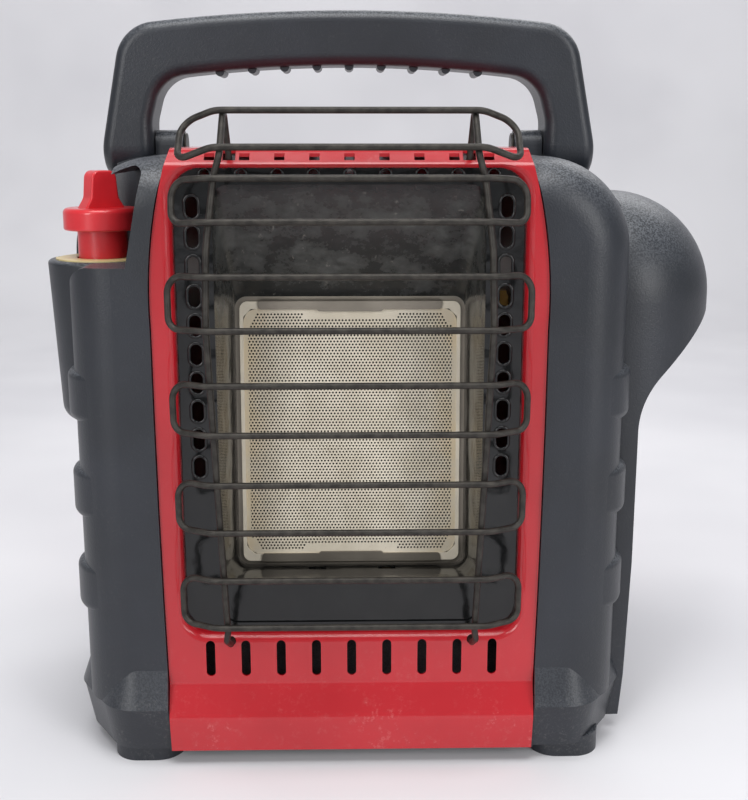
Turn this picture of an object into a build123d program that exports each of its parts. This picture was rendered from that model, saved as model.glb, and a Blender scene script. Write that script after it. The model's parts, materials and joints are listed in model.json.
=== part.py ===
"""Portable radiant propane heater: housing, wire guard, burner, gas train and fold-down handle."""
import os
from math import cos, radians, sin

from build123d import *

os.makedirs("parts", exist_ok=True)

# Frame: +Z up, the front faces -Y, +X is the gas cylinder's side. Z = 0 is the floor under the feet.

# ---- driving dimensions, mm ----
# housing
front_y = -78.0             # face of the red front panel
rear_y = 84.0               # face of the rear panel
deck_z = 310.0              # top of the red deck
deck_rear_z = 276.0         # deck height at the rear edge
sheet = 1.2                 # formed steel sheet
panel_bottom_z = 8.6        # lower edge of the red panels
band_z = 27.0               # knee of the flared band at the foot of the front panel
band_crease_z = 41.8        # crease above that band
band_flare = 8.0            # how far the band stands out
band_tuck = 2.0             # how far its foot draws back in
band_knee_r = 8.0
band_crease_r = 5.0
seam_low_x = 92.0           # half width of the red panels at their lower edge
seam_mid_x = 94.3           # the same at mid height
seam_wide_x = 95.0          # the same at the widest
seam_wide_z = 225.0         # height of the widest place
seam_top_x = 86.0           # half width at the top corner
seam_top_z = 303.0          # height of that corner
seam_gap = 0.4              # gap between steel and plastic panels
deck_split_y = 2.0          # where the front and rear panels meet on the deck
deck_joint = 0.4            # gap at that joint

# window of the front panel and its grilles
window_half = 84.0
window_top_z = 300.8
window_low_z = 68.3
window_top_r = 14.0
window_low_r = 12.0
lip_depth = 8.0             # rolled lip round the window
roll_r = 4.5                # outer radius of that roll
slot_count = 9
slot_pitch = 17.9
slot_wide = 4.6
slot_low_z = 46.3
slot_high_z = 65.5
vent_wide = 4.8             # vents in the sloping top strip
vent_deep = 3.3
vent_y = -73.8
vent_pitch = 16.36

# plastic side panels
wall = 3.0                  # plastic wall
pillar_half = 137.0         # outer side of the front pillars
pillar_front_y = -80.0
crease_y = -50.0            # where the pillars end
side_top_z = 306.0
pillar_corner_r = 45.0      # top outer corner seen from the front
pillar_round_r = 24.0       # roll from front to side
side_half = 145.0           # widest place of the left wall
right_half = 141.0          # widest place of the right wall behind the pillar
side_corner_r = 51.0
rear_corner_r = 26.0
ledge_z = 31.5              # parting line between side panels and base
shoulder_top_z = 58.0       # flared foot of the side panels
shoulder_half = 147.0
shoulder_front_y = -86.5
shoulder_taper = 19.0       # degrees
pad_count = 3               # raised pads on each pillar
pad_top_z = 204.0
pad_pitch = 49.5
pad_high = 27.0
pad_r = 24.6
pad_x = 116.5
pad_y = -53.0
pad_round_r = 5.0

# knob side
knob_x = -126.0
knob_y = -28.0
column_r = 27.8             # knob column at its platform
column_foot_r = 23.8
platform_z = 254.5
column_foot_z = 171.0
column_round_r = 9.0
column_rim_r = 2.0
recess_r = 23.0             # hollow that the knob stands in
recess_draft = 5.0          # degrees
recess_edge_x = -105.8
recess_lean = 9.5           # how far its inner wall leans in
brow_thick = 3.0            # brow of the pillar over the recess
brow_end_x = -112.5         # outside this place the recess is open at the top
brow_corner_r = 4.0
step_r = 13.0               # rounded corner of the left pillar's step

# cylinder side
bay_x = 139.5               # axis of the gas cylinder
bay_y = 5.0
bay_r = 51.0                # clear radius of the cylinder bay
dome_low_z = 233.0          # centre of the dome
rim_low_x = 148.5           # trimmed edge of the bay wall
rim_taper_z = 95.0          # below it the edge draws in
rim_ledge_x = 146.6
rim_foot_x = 144.0
rim_bend_z = 183.0
rim_bend_r = 40.0
rim_ledge_r = 12.0
rim_taper_r = 60.0

# base and feet
base_low_z = 8.0
base_draft = 11.0           # degrees
foot_left_x = -105.8        # middles of the feet
foot_right_x = 111.4
foot_middle_y = 64.0
foot_long = 36.0
foot_deep = 30.0
foot_round_r = 13.5

# handle
pivot_y = 20.0
pivot_z = 310.5
arm_inner = 104.3           # inner side of the arms at the pivot
arm_outer = 131.0
arm_half_deep = 17.0
handle_top_z = 379.5
grip_high = 28.0
grip_crown = 8.0
grip_rib_count = 9
grip_rib_pitch = 17.0
grip_rib_r = 2.4
arm_straight = 5.0          # straight inner side over the bosses
arm_bend_r = 45.0
bow_outer_r = 22.0
bow_inner_r = 18.0
inner_bend_r = 20.0
pin_r = 4.0
run_clearance = 0.05
boss_r = 8.0                # pivot bosses of the side panels
boss_inner = 89.0

# burner
tile_half = 56.0
tile_high = 132.0
tile_thick = 12.0
tile_low_z = 95.0
tile_front_y = -29.0
tile_lean = 4.0             # degrees, top away from the front
frame_half = 58.0
frame_margin = 4.0
frame_corner_r = 4.0
tile_chamfer = 4.0
plenum_deep = 30.0

# reflector
surround_y = -70.0
surround_half = 88.0
surround_top_z = 303.0
mouth_half = 65.5
mouth_top_z = 293.0
mouth_low_z = 94.0
mouth_corner_r = 8.0
side_hole_count = 10
side_hole_pitch = 14.2
side_hole_top_z = 282.5
side_hole_x = 75.0
side_hole_wide = 5.5
side_hole_high = 10.0
top_hole_r = 2.2
top_hole_z = 298.0

# wire guard
wire_r = 1.55
guard_turn_back = 8.0       # how far the ends of the loops bend to the rear
# each loop: half width, y and z of its top wire, y and z of its low wire
loop_wires = (
    (76.7, -90.0, 326.8, -107.0, 310.7),
    (79.9, -108.0, 297.3, -111.0, 278.3),
    (82.8, -111.5, 254.1, -111.5, 229.7),
    (82.4, -110.3, 204.1, -109.1, 180.6),
    (81.8, -108.0, 156.3, -106.8, 132.6),
    (81.3, -105.7, 108.3, -104.5, 83.8),
)

# deck, seams and walls
deck_front_y = -69.5        # where the curved top strip meets the deck
deck_bend_y = 5.0           # where the deck starts to slope to the rear
deck_bend_r = 60.0
deck_drop = 8.0             # height of the curved top strip
deck_front_low_r = 5.0
deck_front_r = 7.0
deck_rear_r = 18.0
side_rear_z = 271.0         # rear top edge of the side panels
wall_wide_y = -12.0         # where the walls reach their full width
wall_bulge_r = 50.0
pillar_waist = 3.5          # the pillars draw in by this at their crease
shoulder_cut = 16.0
shoulder_waist = 3.0
shoulder_round_r = 22.0
shoulder_bulge_r = 25.0
seam_shoulder_x = 92.8      # one more point of the curved top corner
seam_shoulder_z = 271.0
seam_lean = 6.0             # the seam leans in by this over the run past its corner
seam_run = 24.0
skirt_run = 20.0            # how far outlines run on below the panels before they are cut

# slots, wells and fits of the housing
rear_slot_rows = (60.0, 238.0)
rod_slot_wide = 6.0
rod_slot_deep = 5.0
rod_slot_y = -73.0
notch_clearance = 0.6
boss_low_z = 300.0
cup_r = 13.5                # well that the knob's skirt sinks into
cup_deep = 8.0
neck_r = 6.0                # threaded neck of the gas valve
elbow_r = 5.0
elbow_z = 226.0
base_step = 0.5             # how far the base stands in from the side panels
fit_gap = 0.3               # sliding fit of pressed and moulded pieces

# reflector, plenum and tile
surround_low_z = 62.0
surround_mouth_z = 72.0
top_hole_pitch = 17.1
pan_rear_half = 60.5
pan_rear_margin = 6.5
pan_rim = 5.0
heat_plate_low_z = 64.0
plenum_flange_half = 63.0
plenum_flange_margin = 9.0
tile_proud = 1.5
frame_thick = 0.6
clip_half = 46.0
clip_high = 2.5
clip_tab_half = 18.0
clip_tab_high = 2.0

# mixing tube and pilot
port_v = 45.0
throat_r = 9.0
bell_r = 13.0
mix_y = 27.0
mix_top_z = 152.0
orifice_z = 54.0
jet_gap = 14.0              # from the orifice to the mixing tube
bell_high = 6.0
throat_high = 22.0
pilot_plate_z = 74.0
pilot_x = 19.0
pilot_y = -40.0
sensor_x = -18.0
pilot_slot_wide = 9.0
pilot_slot_deep = 5.0
jet_r = 3.0
jet_hex_r = 5.5
pilot_bracket_half = 28.0
pilot_bracket_high = 14.0
pilot_shelf = 8.0           # the bracket's shelf behind the probes
pilot_tip_r = 2.6
sensor_tip_r = 1.6
igniter_tip_r = 0.8
probe_half = 8.0
probe_tip_high = 6.0
probe_nut_rim = 2.0
probe_nut_high = 4.0
pilot_r = 4.0
probe_r = 3.0
igniter_x = 5.0

# bends of the guard's wires
loop_end_long = 16.0
loop_ease_r = 14.0
loop_top_r = 8.5            # corners of a loop at its top wire
loop_low_r = 5.5            # and at its low wire
rod_foot_x = 60.8
rod_foot_deep = 5.0
rod_sole = 3.5              # straight end before the bend at the panel
rod_toe_y = -99.3
rod_toe_z = 75.0
rod_low_x = 59.8
rod_low_y = -101.4
rod_low_z = 80.5
rod_mid_x = 62.6
rod_wide_x = 65.3
rod_wide_y = -108.6
rod_wide_z = 230.0
rod_high_x = 64.2
rod_high_z = 266.0
rod_neck_x = 60.4
rod_neck_y = -105.1
rod_neck_z = 297.3
rod_crest_x = 57.3
crest_foot_y = -106.1       # bend of the rods under the low wire of the top loop
crest_foot_z = 307.6
crest_tip_y = -84.4         # tip of the rods behind the top wire of that loop
crest_tip_z = 328.1
rod_end_z = 303.6
rod_foot_z = 65.2
rod_top_x = 56.2
rod_radii = [4.0, 5.0, 8.0, 60.0, 60.0, 60.0, 40.0, 5.0, 4.0]

# bow of the handle and its pins
bow_outer_x = 119.0
bow_inner_x = 98.5
inner_crown = 6.5
handle_round_r = 6.0
grip_rib_long = 22.0
pin_reach = 16.0
pin_head_r = 6.5
pin_head_high = 1.5
pin_edge_r = 0.6

# gas valve and knob
valve_wide = 24.0
valve_deep = 22.0
valve_high = 30.0
bonnet_high = 6.0
bonnet_r = 9.0
neck_high = 8.0
spindle_r = 3.0
spindle_deep = 16.0
spindle_top_z = 289.5
spindle_flat_long = 26.0
valve_nut_r = 9.0
skirt_low_z = 252.5
skirt_r = 12.5
skirt_hollow = 10.0
disc_low_z = 269.0
disc_top_z = 280.0
disc_r = 19.2
knob_top_z = 298.5
knob_travel = 3.5
wing_turn = 38.0
wing_thick = 10.0
wing_foot_half = 10.8
wing_waist_half = 7.6
wing_top_half = 6.4
wing_foot_high = 5.0
wing_waist_r = 5.0
wing_top_r = 4.0
disc_round_r = 2.5
knob_edge_r = 1.0
dial_thick = 0.6
dial_r = 23.8
piezo_wide = 12.0
piezo_deep = 16.0
piezo_high = 26.0

# gas inlet and regulator
inlet_tail_x = 77.0
inlet_nut_x = 85.0
inlet_nut_r = 8.5
inlet_nut_high = 6.0
swivel_x = 110.0
barrel_r = 7.0
barrel_half = 8.0
trunnion_r = 4.0
lug_gap = 0.3
lug_thick = 8.0
lug_r = 7.5
inlet_face_z = 203.0
inlet_boss_r = 17.0
inlet_boss_high = 16.0
inlet_thread_r = 12.7       # 1 inch-20 cylinder thread, major radius
inlet_thread_deep = 12.0
seal_pocket_r = 11.0
seal_thick = 2.0
seal_bore_r = 4.0
neck_outer_r = 17.0
bowl_low_z = 236.0
bowl_r = 21.0
bowl_top_z = 245.0
spring_tower_r = 8.0
tower_high = 12.0
cap_high = 7.0
cap_slope = 6.0
bowl_rim = 3.0

# tubes and heat shields
tube_r = 3.0
tube_run_z = 30.0
tube_bend_long = 9.0
tube_clearance = 9.0        # from the mixing tube's throat to the supply tube
shield_x = 86.0
shield_low_z = 60.0
shield_top_z = 300.0
shield_rear_z = 262.0

# ---- shared outlines and forms ----
reach = 120.0               # half length of the through cuts
form_inner_x = 70.0         # where the side forms start, behind the steel panels
form_lap = 10.0             # how far forms run into what they join
past = 20.0                 # how far cuts run past the form
far = 400.0


def casing_outline(inset):
    """Side view of the steel casing, front to rear."""
    with BuildSketch(Plane.YZ) as outline:
        with BuildLine():
            Polyline(
                (front_y - band_flare + band_tuck, panel_bottom_z - skirt_run),
                (front_y - band_flare, band_z),
                (front_y, band_crease_z),
                (front_y, deck_z - deck_drop),
                (deck_front_y, deck_z),
                (deck_bend_y, deck_z),
                (rear_y, deck_rear_z),
                (rear_y, panel_bottom_z - skirt_run),
                close=True,
            )
        make_face()
        points = outline.vertices()
        fillet(points.sort_by_distance((front_y - band_flare, band_z))[0], band_knee_r)
        fillet(outline.vertices().sort_by_distance((front_y, band_crease_z))[0], band_crease_r)
        fillet(outline.vertices().sort_by_distance((front_y, deck_z - deck_drop))[0], deck_front_low_r)
        fillet(outline.vertices().sort_by_distance((deck_front_y, deck_z))[0], deck_front_r)
        fillet(outline.vertices().sort_by_distance((deck_bend_y, deck_z))[0], deck_bend_r)
        fillet(outline.vertices().sort_by_distance((rear_y, deck_rear_z))[0], deck_rear_r)
        if inset > 0:
            offset(amount=-inset)
    return outline.sketch


def seam_outline(grow):
    """Front view of the steel casing, which the side panels leave free."""
    seam_foot_z = panel_bottom_z - skirt_run
    seam_end_x = seam_top_x - seam_lean
    seam_end_z = seam_top_z + seam_run
    with BuildSketch(Plane.XZ) as outline:
        with BuildLine():
            Line((0, seam_foot_z), (seam_low_x, seam_foot_z))
            Line((seam_low_x, seam_foot_z), (seam_low_x, panel_bottom_z))
            ThreePointArc(
                (seam_low_x, panel_bottom_z),
                (seam_mid_x, (panel_bottom_z + seam_wide_z) / 2),
                (seam_wide_x, seam_wide_z),
            )
            ThreePointArc(
                (seam_wide_x, seam_wide_z),
                (seam_shoulder_x, seam_shoulder_z),
                (seam_top_x, seam_top_z),
            )
            Line((seam_top_x, seam_top_z), (seam_end_x, seam_end_z))
            Line((seam_end_x, seam_end_z), (0, seam_end_z))
            mirror(about=Plane.YZ)
        make_face()
        if grow > 0:
            offset(amount=grow, kind=Kind.INTERSECTION)
    return outline.sketch


def steel_casing():
    """The skin of the whole steel casing, before it is parted into front and rear panels."""
    with BuildPart() as casing:
        extrude(casing_outline(0), amount=reach, both=True)
        extrude(casing_outline(sheet), amount=reach, both=True, mode=Mode.SUBTRACT)
        extrude(seam_outline(0), amount=reach, both=True, mode=Mode.INTERSECT)
        with BuildSketch(Plane.XY.offset(panel_bottom_z)):
            Rectangle(far, far)
        extrude(amount=-reach, mode=Mode.SUBTRACT)
    return casing.part


def window_outline(grow):
    """Window of the front panel."""
    with BuildSketch(Plane.XZ.offset(-front_y)) as outline:
        with Locations((0, (window_top_z + window_low_z) / 2)):
            Rectangle(2 * window_half, window_top_z - window_low_z)
        fillet(outline.vertices().group_by(Axis.Y)[-1], window_top_r)
        fillet(outline.vertices().group_by(Axis.Y)[0], window_low_r)
        if grow > 0:
            offset(amount=grow)
    return outline.sketch


def window_form(grow):
    """The window with its rolled edge, as the solid that the panel leaves free."""
    face_y = front_y + grow
    with BuildPart() as form:
        extrude(window_outline(grow), amount=-lip_depth)
        with BuildSketch(Plane.XZ.offset(-face_y)):
            with Locations((0, (window_top_z + window_low_z) / 2)):
                Rectangle(2 * window_half + 4 * roll_r, window_top_z - window_low_z + 4 * roll_r)
        extrude(amount=3 * roll_r)
        edge = form.edges().filter_by_position(Axis.Y, face_y - 0.01, face_y + 0.01)
        edge = edge.filter_by(lambda e: abs(e.center().X) < window_half + grow + 0.1)
        edge = edge.filter_by(lambda e: window_low_z - grow - 0.1 < e.center().Z < window_top_z + grow + 0.1)
        fillet(edge, roll_r - grow)
    return form.part


def pillar_form(side, inset):
    """Pillow-shaped front pillar beside the steel panel. side is 1 on the cylinder's side."""
    half = pillar_half - inset
    top = side_top_z - inset
    back_y = crease_y + inset
    low = ledge_z if inset == 0 else ledge_z - 1.0
    with BuildPart() as form:
        with BuildSketch(Plane.XZ.offset(-back_y)) as face:
            with BuildLine():
                Polyline(
                    (side * form_inner_x, low),
                    (side * half, low),
                    (side * half, top),
                    (side * form_inner_x, top),
                    close=True,
                )
            make_face()
            fillet(face.vertices().sort_by_distance((side * half, top))[0], pillar_corner_r - inset)
        extrude(amount=back_y - pillar_front_y - inset)
        front_edges = form.faces().sort_by(Axis.Y)[0].edges()
        rolled = front_edges.filter_by(lambda e: e.center().Z > low + 1.0)
        rolled = rolled.filter_by(lambda e: abs(e.center().X) > form_inner_x + 1.0)
        fillet(rolled, pillar_round_r - inset)
    return form.part


def wall_form(side, half, inset):
    """Body of a side panel behind its pillar."""
    low = ledge_z if inset == 0 else ledge_z - 1.0
    front = crease_y - 2.0
    crease_half = pillar_half - pillar_waist
    with BuildPart() as form:
        with BuildSketch(Plane.XY.offset(low)) as plan:
            with BuildLine():
                Polyline(
                    (side * (form_inner_x - form_lap), front),
                    (side * min(crease_half, half), front),
                    (side * half, wall_wide_y),
                    (side * half, rear_y),
                    (side * (form_inner_x - form_lap), rear_y),
                    close=True,
                )
            make_face()
            fillet(plan.vertices().sort_by_distance((side * half, wall_wide_y))[0], wall_bulge_r)
            fillet(plan.vertices().sort_by_distance((side * half, rear_y))[0], rear_corner_r)
            if inset > 0:
                offset(amount=-inset)
        extrude(amount=side_top_z)
        with BuildSketch(Plane.XZ) as front_view:
            with BuildLine():
                Polyline(
                    (0, 0),
                    (side * half, 0),
                    (side * half, side_top_z),
                    (0, side_top_z),
                    close=True,
                )
            make_face()
            fillet(front_view.vertices().sort_by_distance((side * half, side_top_z))[0], side_corner_r)
            if inset > 0:
                offset(amount=-inset)
        extrude(amount=reach, both=True, mode=Mode.INTERSECT)
        with BuildSketch(Plane.YZ) as side_view:
            with BuildLine():
                Polyline(
                    (-reach, 0),
                    (-reach, side_top_z),
                    (deck_bend_y, side_top_z),
                    (rear_y, side_rear_z),
                    (rear_y, 0),
                    close=True,
                )
            make_face()
            fillet(side_view.vertices().sort_by_distance((deck_bend_y, side_top_z))[0], deck_bend_r)
            fillet(side_view.vertices().sort_by_distance((rear_y, side_rear_z))[0], deck_rear_r)
            if inset > 0:
                offset(amount=-inset)
        extrude(amount=far, both=True, mode=Mode.INTERSECT)
    return form.part


def shoulder_plan(side, inset):
    """Plan of the flared foot of the housing, one side."""
    corners = (
        (side * (form_inner_x - form_lap), shoulder_front_y),
        (side * (pillar_half - shoulder_cut), shoulder_front_y),
        (side * (shoulder_half - shoulder_waist), crease_y),
        (side * shoulder_half, bay_y),
        (side * shoulder_half, rear_y),
        (side * (form_inner_x - form_lap), rear_y),
    )
    with BuildSketch(Plane.XY.offset(ledge_z)) as plan:
        with BuildLine():
            # the order turns round on the left, so that both faces look up
            Polyline(*corners[::side], close=True)
        make_face()
        round_at = (side * (pillar_half - shoulder_cut), shoulder_front_y)
        bulge_at = (side * (shoulder_half - shoulder_waist), crease_y)
        fillet(plan.vertices().sort_by_distance(round_at)[0], shoulder_round_r)
        fillet(plan.vertices().sort_by_distance(bulge_at)[0], shoulder_bulge_r)
        fillet(plan.vertices().sort_by_distance((side * shoulder_half, rear_y))[0], rear_corner_r)
        if inset > 0:
            offset(amount=-inset)
    return plan.sketch


def shoulder_form(side, inset):
    """Flared foot of a side panel, which leans in up to the walls."""
    with BuildPart() as form:
        extrude(shoulder_plan(side, inset), amount=shoulder_top_z - ledge_z - inset, taper=shoulder_taper)
        if inset > 0:
            extrude(shoulder_plan(side, inset), amount=-1.0)
    return form.part


def pad_form(side, index, inset):
    """One raised pad on the corner of a pillar."""
    middle_z = pad_top_z - pad_high / 2 - index * pad_pitch
    with BuildPart() as form:
        with BuildSketch(Plane.XY.offset(middle_z)):
            with Locations((side * pad_x, pad_y)):
                Circle(pad_r - inset)
        extrude(amount=pad_high / 2 - inset, both=True)
        fillet(form.edges().filter_by(GeomType.CIRCLE), pad_round_r)
    return form.part


def column_form(inset):
    """Round column that carries the knob."""
    with BuildPart() as form:
        with BuildSketch(Plane(origin=(knob_x, knob_y, 0), x_dir=(1, 0, 0), z_dir=(0, -1, 0))) as half:
            with BuildLine():
                Polyline(
                    (0, column_foot_z + inset),
                    (column_foot_r - inset, column_foot_z + inset),
                    (column_r - inset, platform_z - inset),
                    (0, platform_z - inset),
                    close=True,
                )
            make_face()
            foot = half.vertices().sort_by_distance((column_foot_r - inset, column_foot_z + inset))[0]
            fillet(foot, column_round_r - inset)
            if inset == 0:
                rim = half.vertices().sort_by_distance((column_r, platform_z))[0]
                fillet(rim, column_rim_r)
        revolve(axis=Axis((knob_x, knob_y, 0), (0, 0, 1)))
    return form.part


def recess_view(grow):
    """Front view of the knob recess: a leaning inner edge under a brow, open to the outer side."""
    low = platform_z - grow
    ceiling = side_top_z - brow_thick + grow
    outer_x = -pillar_half + brow_thick - grow
    edge_x = recess_edge_x + grow
    with BuildSketch(Plane.XZ) as view:
        with BuildLine():
            Polyline(
                (-form_inner_x, low),
                (-form_inner_x, ceiling),
                (outer_x, ceiling),
                (outer_x, low),
                close=True,
            )
        make_face()
        outer_corner = view.vertices().sort_by_distance((outer_x, ceiling))[0]
        fillet(outer_corner, pillar_corner_r - brow_thick + grow)
        with BuildLine():
            Polyline(
                (edge_x, low),
                (edge_x + recess_lean, ceiling),
                (-far, ceiling),
                (-far, low),
                close=True,
            )
        make_face(mode=Mode.INTERSECT)
        inner_corner = view.vertices().sort_by_distance((edge_x + recess_lean, ceiling))[0]
        fillet(inner_corner, brow_corner_r + grow)
        with Locations((brow_end_x - reach / 2 + grow, low + reach / 2)):
            Rectangle(reach, reach)
    return view.sketch


def recess_form(grow):
    """Hollow over the knob platform, open to the front and to the outer side."""
    low = platform_z - grow
    with BuildPart() as form:
        with BuildSketch(Plane.XY.offset(low)):
            with Locations((knob_x, knob_y)):
                Circle(recess_r + grow)
        extrude(amount=side_top_z - low + past, taper=-recess_draft)
        with BuildSketch(Plane.XY.offset(low)):
            with Locations((knob_x - reach, knob_y + recess_r + grow - reach)):
                Rectangle(2 * reach, 2 * reach)
            with Locations((knob_x, knob_y - reach)):
                Rectangle(2 * reach, 2 * reach)
        extrude(amount=side_top_z - low + past)
        extrude(recess_view(grow), amount=reach, both=True, mode=Mode.INTERSECT)
    return form.part


def step_form(grow):
    """What lies over the round-cornered step of the left pillar, in front of the knob's axis."""
    low = platform_z - grow
    corner_x = -pillar_half + grow
    with BuildPart() as form:
        with BuildSketch(Plane.XZ.offset(-knob_y)):
            with BuildLine():
                Line((knob_x, low), (corner_x + step_r, low))
                RadiusArc((corner_x + step_r, low), (corner_x, low - step_r), -step_r)
                Polyline(
                    (corner_x, low - step_r),
                    (corner_x - form_lap, low - step_r),
                    (corner_x - form_lap, side_top_z + past),
                    (knob_x, side_top_z + past),
                    (knob_x, low),
                )
            make_face()
        extrude(amount=reach)
    return form.part


def notch_form(side, grow):
    """Notch in the shoulder of a side panel, where the handle arm turns."""
    room = notch_clearance + grow
    notch_front_y = pivot_y - arm_half_deep - room
    with BuildPart() as form:
        with BuildSketch(Plane.XY.offset(pivot_z - arm_half_deep - room)):
            with BuildLine():
                Polyline(
                    (side * (arm_inner - room), notch_front_y),
                    (side * (arm_outer + 2 * past), notch_front_y),
                    (side * (arm_outer + 2 * past), rear_y + past),
                    (side * (arm_inner - room), rear_y + past),
                    close=True,
                )
            make_face()
        extrude(amount=3 * past)
    return form.part


def bay_form(radius, low):
    """Tower round the gas cylinder: a round shaft under a dome."""
    with BuildPart() as form:
        with BuildSketch(Plane(origin=(bay_x, bay_y, 0), x_dir=(1, 0, 0), z_dir=(0, -1, 0))):
            with BuildLine():
                Line((0, low), (radius, low))
                Line((radius, low), (radius, dome_low_z))
                CenterArc((0, dome_low_z), radius, 0, 90)
                Line((0, dome_low_z + radius), (0, low))
            make_face()
        revolve(axis=Axis((bay_x, bay_y, 0), (0, 0, 1)))
    return form.part


def rim_trim():
    """What lies outside the open edge of the cylinder bay, seen from the front."""
    bend_run = dome_low_z - rim_bend_z
    with BuildPart() as form:
        with BuildSketch(Plane.XZ) as view:
            with BuildLine():
                Polyline(
                    (rim_foot_x, -past),
                    (rim_foot_x, 0.0),
                    (rim_ledge_x, ledge_z),
                    (rim_low_x, rim_taper_z),
                    (rim_low_x, rim_bend_z),
                    (rim_low_x + bend_run, rim_bend_z + bend_run),
                    (rim_low_x + reach, rim_bend_z + bend_run),
                    (rim_low_x + reach, -past),
                    close=True,
                )
            make_face()
            fillet(view.vertices().sort_by_distance((rim_low_x, rim_bend_z))[0], rim_bend_r)
            fillet(view.vertices().sort_by_distance((rim_ledge_x, ledge_z))[0], rim_ledge_r)
            fillet(view.vertices().sort_by_distance((rim_low_x, rim_taper_z))[0], rim_taper_r)
        extrude(amount=reach, both=True)
    return form.part


def pivot_boss(side):
    """Round boss that carries the handle's pivot pin."""
    with BuildPart() as form:
        with BuildSketch(Plane.YZ.offset(side * (boss_inner + arm_inner - notch_clearance) / 2)):
            with Locations((pivot_y, pivot_z)):
                Circle(boss_r)
            with Locations((pivot_y, (pivot_z + boss_low_z) / 2)):
                Rectangle(2 * boss_r, pivot_z - boss_low_z)
        extrude(amount=(arm_inner - notch_clearance - boss_inner) / 2, both=True)
    return form.part


# ---- steel casing ----
casing_skin = steel_casing()

with BuildPart() as roll_blank:
    add(window_form(sheet))
    extrude(casing_outline(0), amount=reach, both=True, mode=Mode.INTERSECT)
    extrude(seam_outline(0), amount=reach, both=True, mode=Mode.INTERSECT)
window_roll = roll_blank.part

with BuildPart() as front_panel:
    add(casing_skin)
    with BuildSketch(Plane.XY):
        with Locations((0, deck_split_y + reach)):
            Rectangle(far, 2 * reach)
    extrude(amount=far, mode=Mode.SUBTRACT)
    add(window_roll)
    add(window_form(0), mode=Mode.SUBTRACT)
    with BuildSketch(Plane.XZ.offset(-front_y)):
        with Locations((0, (slot_low_z + slot_high_z) / 2)):
            with GridLocations(slot_pitch, 1.0, slot_count, 1):
                SlotOverall(slot_high_z - slot_low_z, slot_wide, rotation=90)
    extrude(amount=-3 * sheet, mode=Mode.SUBTRACT)
    with BuildSketch(Plane.XY.offset(window_top_z + sheet + fit_gap)):
        with Locations((0, vent_y)):
            with GridLocations(vent_pitch, 1.0, slot_count, 1):
                Rectangle(vent_wide, vent_deep)
        with Locations((0, rod_slot_y)):
            with GridLocations(2 * rod_top_x, 1.0, 2, 1):
                Rectangle(rod_slot_wide, rod_slot_deep)
    extrude(amount=reach, mode=Mode.SUBTRACT)
    with BuildSketch(Plane.XZ.offset(-front_y)):
        with Locations((0, rod_foot_z)):
            with GridLocations(2 * rod_foot_x, 1.0, 2, 1):
                Circle(wire_r + 2 * fit_gap)
    extrude(amount=-rod_foot_deep - fit_gap, mode=Mode.SUBTRACT)
front_panel.part.label = "front_panel"
export_step(front_panel.part, "parts/front_panel.step")

with BuildPart() as rear_panel:
    add(casing_skin)
    with BuildSketch(Plane.XY):
        with Locations((0, deck_split_y + deck_joint - reach)):
            Rectangle(far, 2 * reach)
    extrude(amount=far, mode=Mode.SUBTRACT)
    with BuildSketch(Plane.XZ.offset(-rear_y)):
        for row_z in rear_slot_rows:
            with Locations((0, row_z)):
                with GridLocations(slot_pitch, 1.0, slot_count, 1):
                    SlotOverall(slot_high_z - slot_low_z, slot_wide, rotation=90)
    extrude(amount=3 * sheet, both=True, mode=Mode.SUBTRACT)
rear_panel.part.label = "rear_panel"
export_step(rear_panel.part, "parts/rear_panel.step")

# ---- plastic side panels ----
seam_cut = seam_outline(seam_gap)

with BuildPart() as left_cavity:
    add(pillar_form(-1, wall))
    add(wall_form(-1, side_half, wall))
    add(step_form(wall), mode=Mode.SUBTRACT)
    add(shoulder_form(-1, wall))
    add(column_form(wall))
    for index in range(pad_count):
        add(pad_form(-1, index, wall))
    add(recess_form(wall), mode=Mode.SUBTRACT)
    add(notch_form(-1, wall), mode=Mode.SUBTRACT)
    with BuildSketch(Plane.XY.offset(platform_z)):
        with Locations((knob_x, knob_y)):
            Circle(cup_r + wall)
    extrude(amount=-cup_deep - wall, mode=Mode.SUBTRACT)

with BuildPart() as left_side_panel:
    add(pillar_form(-1, 0))
    add(wall_form(-1, side_half, 0))
    add(step_form(0), mode=Mode.SUBTRACT)
    add(shoulder_form(-1, 0))
    add(column_form(0))
    for index in range(pad_count):
        add(pad_form(-1, index, 0))
    add(recess_form(0), mode=Mode.SUBTRACT)
    add(notch_form(-1, 0), mode=Mode.SUBTRACT)
    add(left_cavity.part, mode=Mode.SUBTRACT)
    with BuildSketch(Plane.XY.offset(platform_z)):
        with Locations((knob_x, knob_y)):
            Circle(cup_r)
    extrude(amount=-cup_deep, mode=Mode.SUBTRACT)
    with BuildSketch(Plane.XY.offset(platform_z)):
        with Locations((knob_x, knob_y)):
            Circle(neck_r + run_clearance)
    extrude(amount=-cup_deep - 2 * wall, mode=Mode.SUBTRACT)
    extrude(seam_cut, amount=reach, both=True, mode=Mode.SUBTRACT)
    add(pivot_boss(-1))
    with BuildSketch(Plane.YZ):
        with Locations((pivot_y, pivot_z)):
            Circle(pin_r)
    extrude(amount=-far, mode=Mode.SUBTRACT)
left_side_panel.part.label = "left_side_panel"
export_step(left_side_panel.part, "parts/left_side_panel.step")

with BuildPart() as right_cavity:
    add(pillar_form(1, wall))
    add(wall_form(1, right_half, wall))
    add(shoulder_form(1, wall))
    for index in range(pad_count):
        add(pad_form(1, index, wall))
    add(bay_form(bay_r + wall, 0), mode=Mode.SUBTRACT)
    add(notch_form(1, wall), mode=Mode.SUBTRACT)

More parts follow.
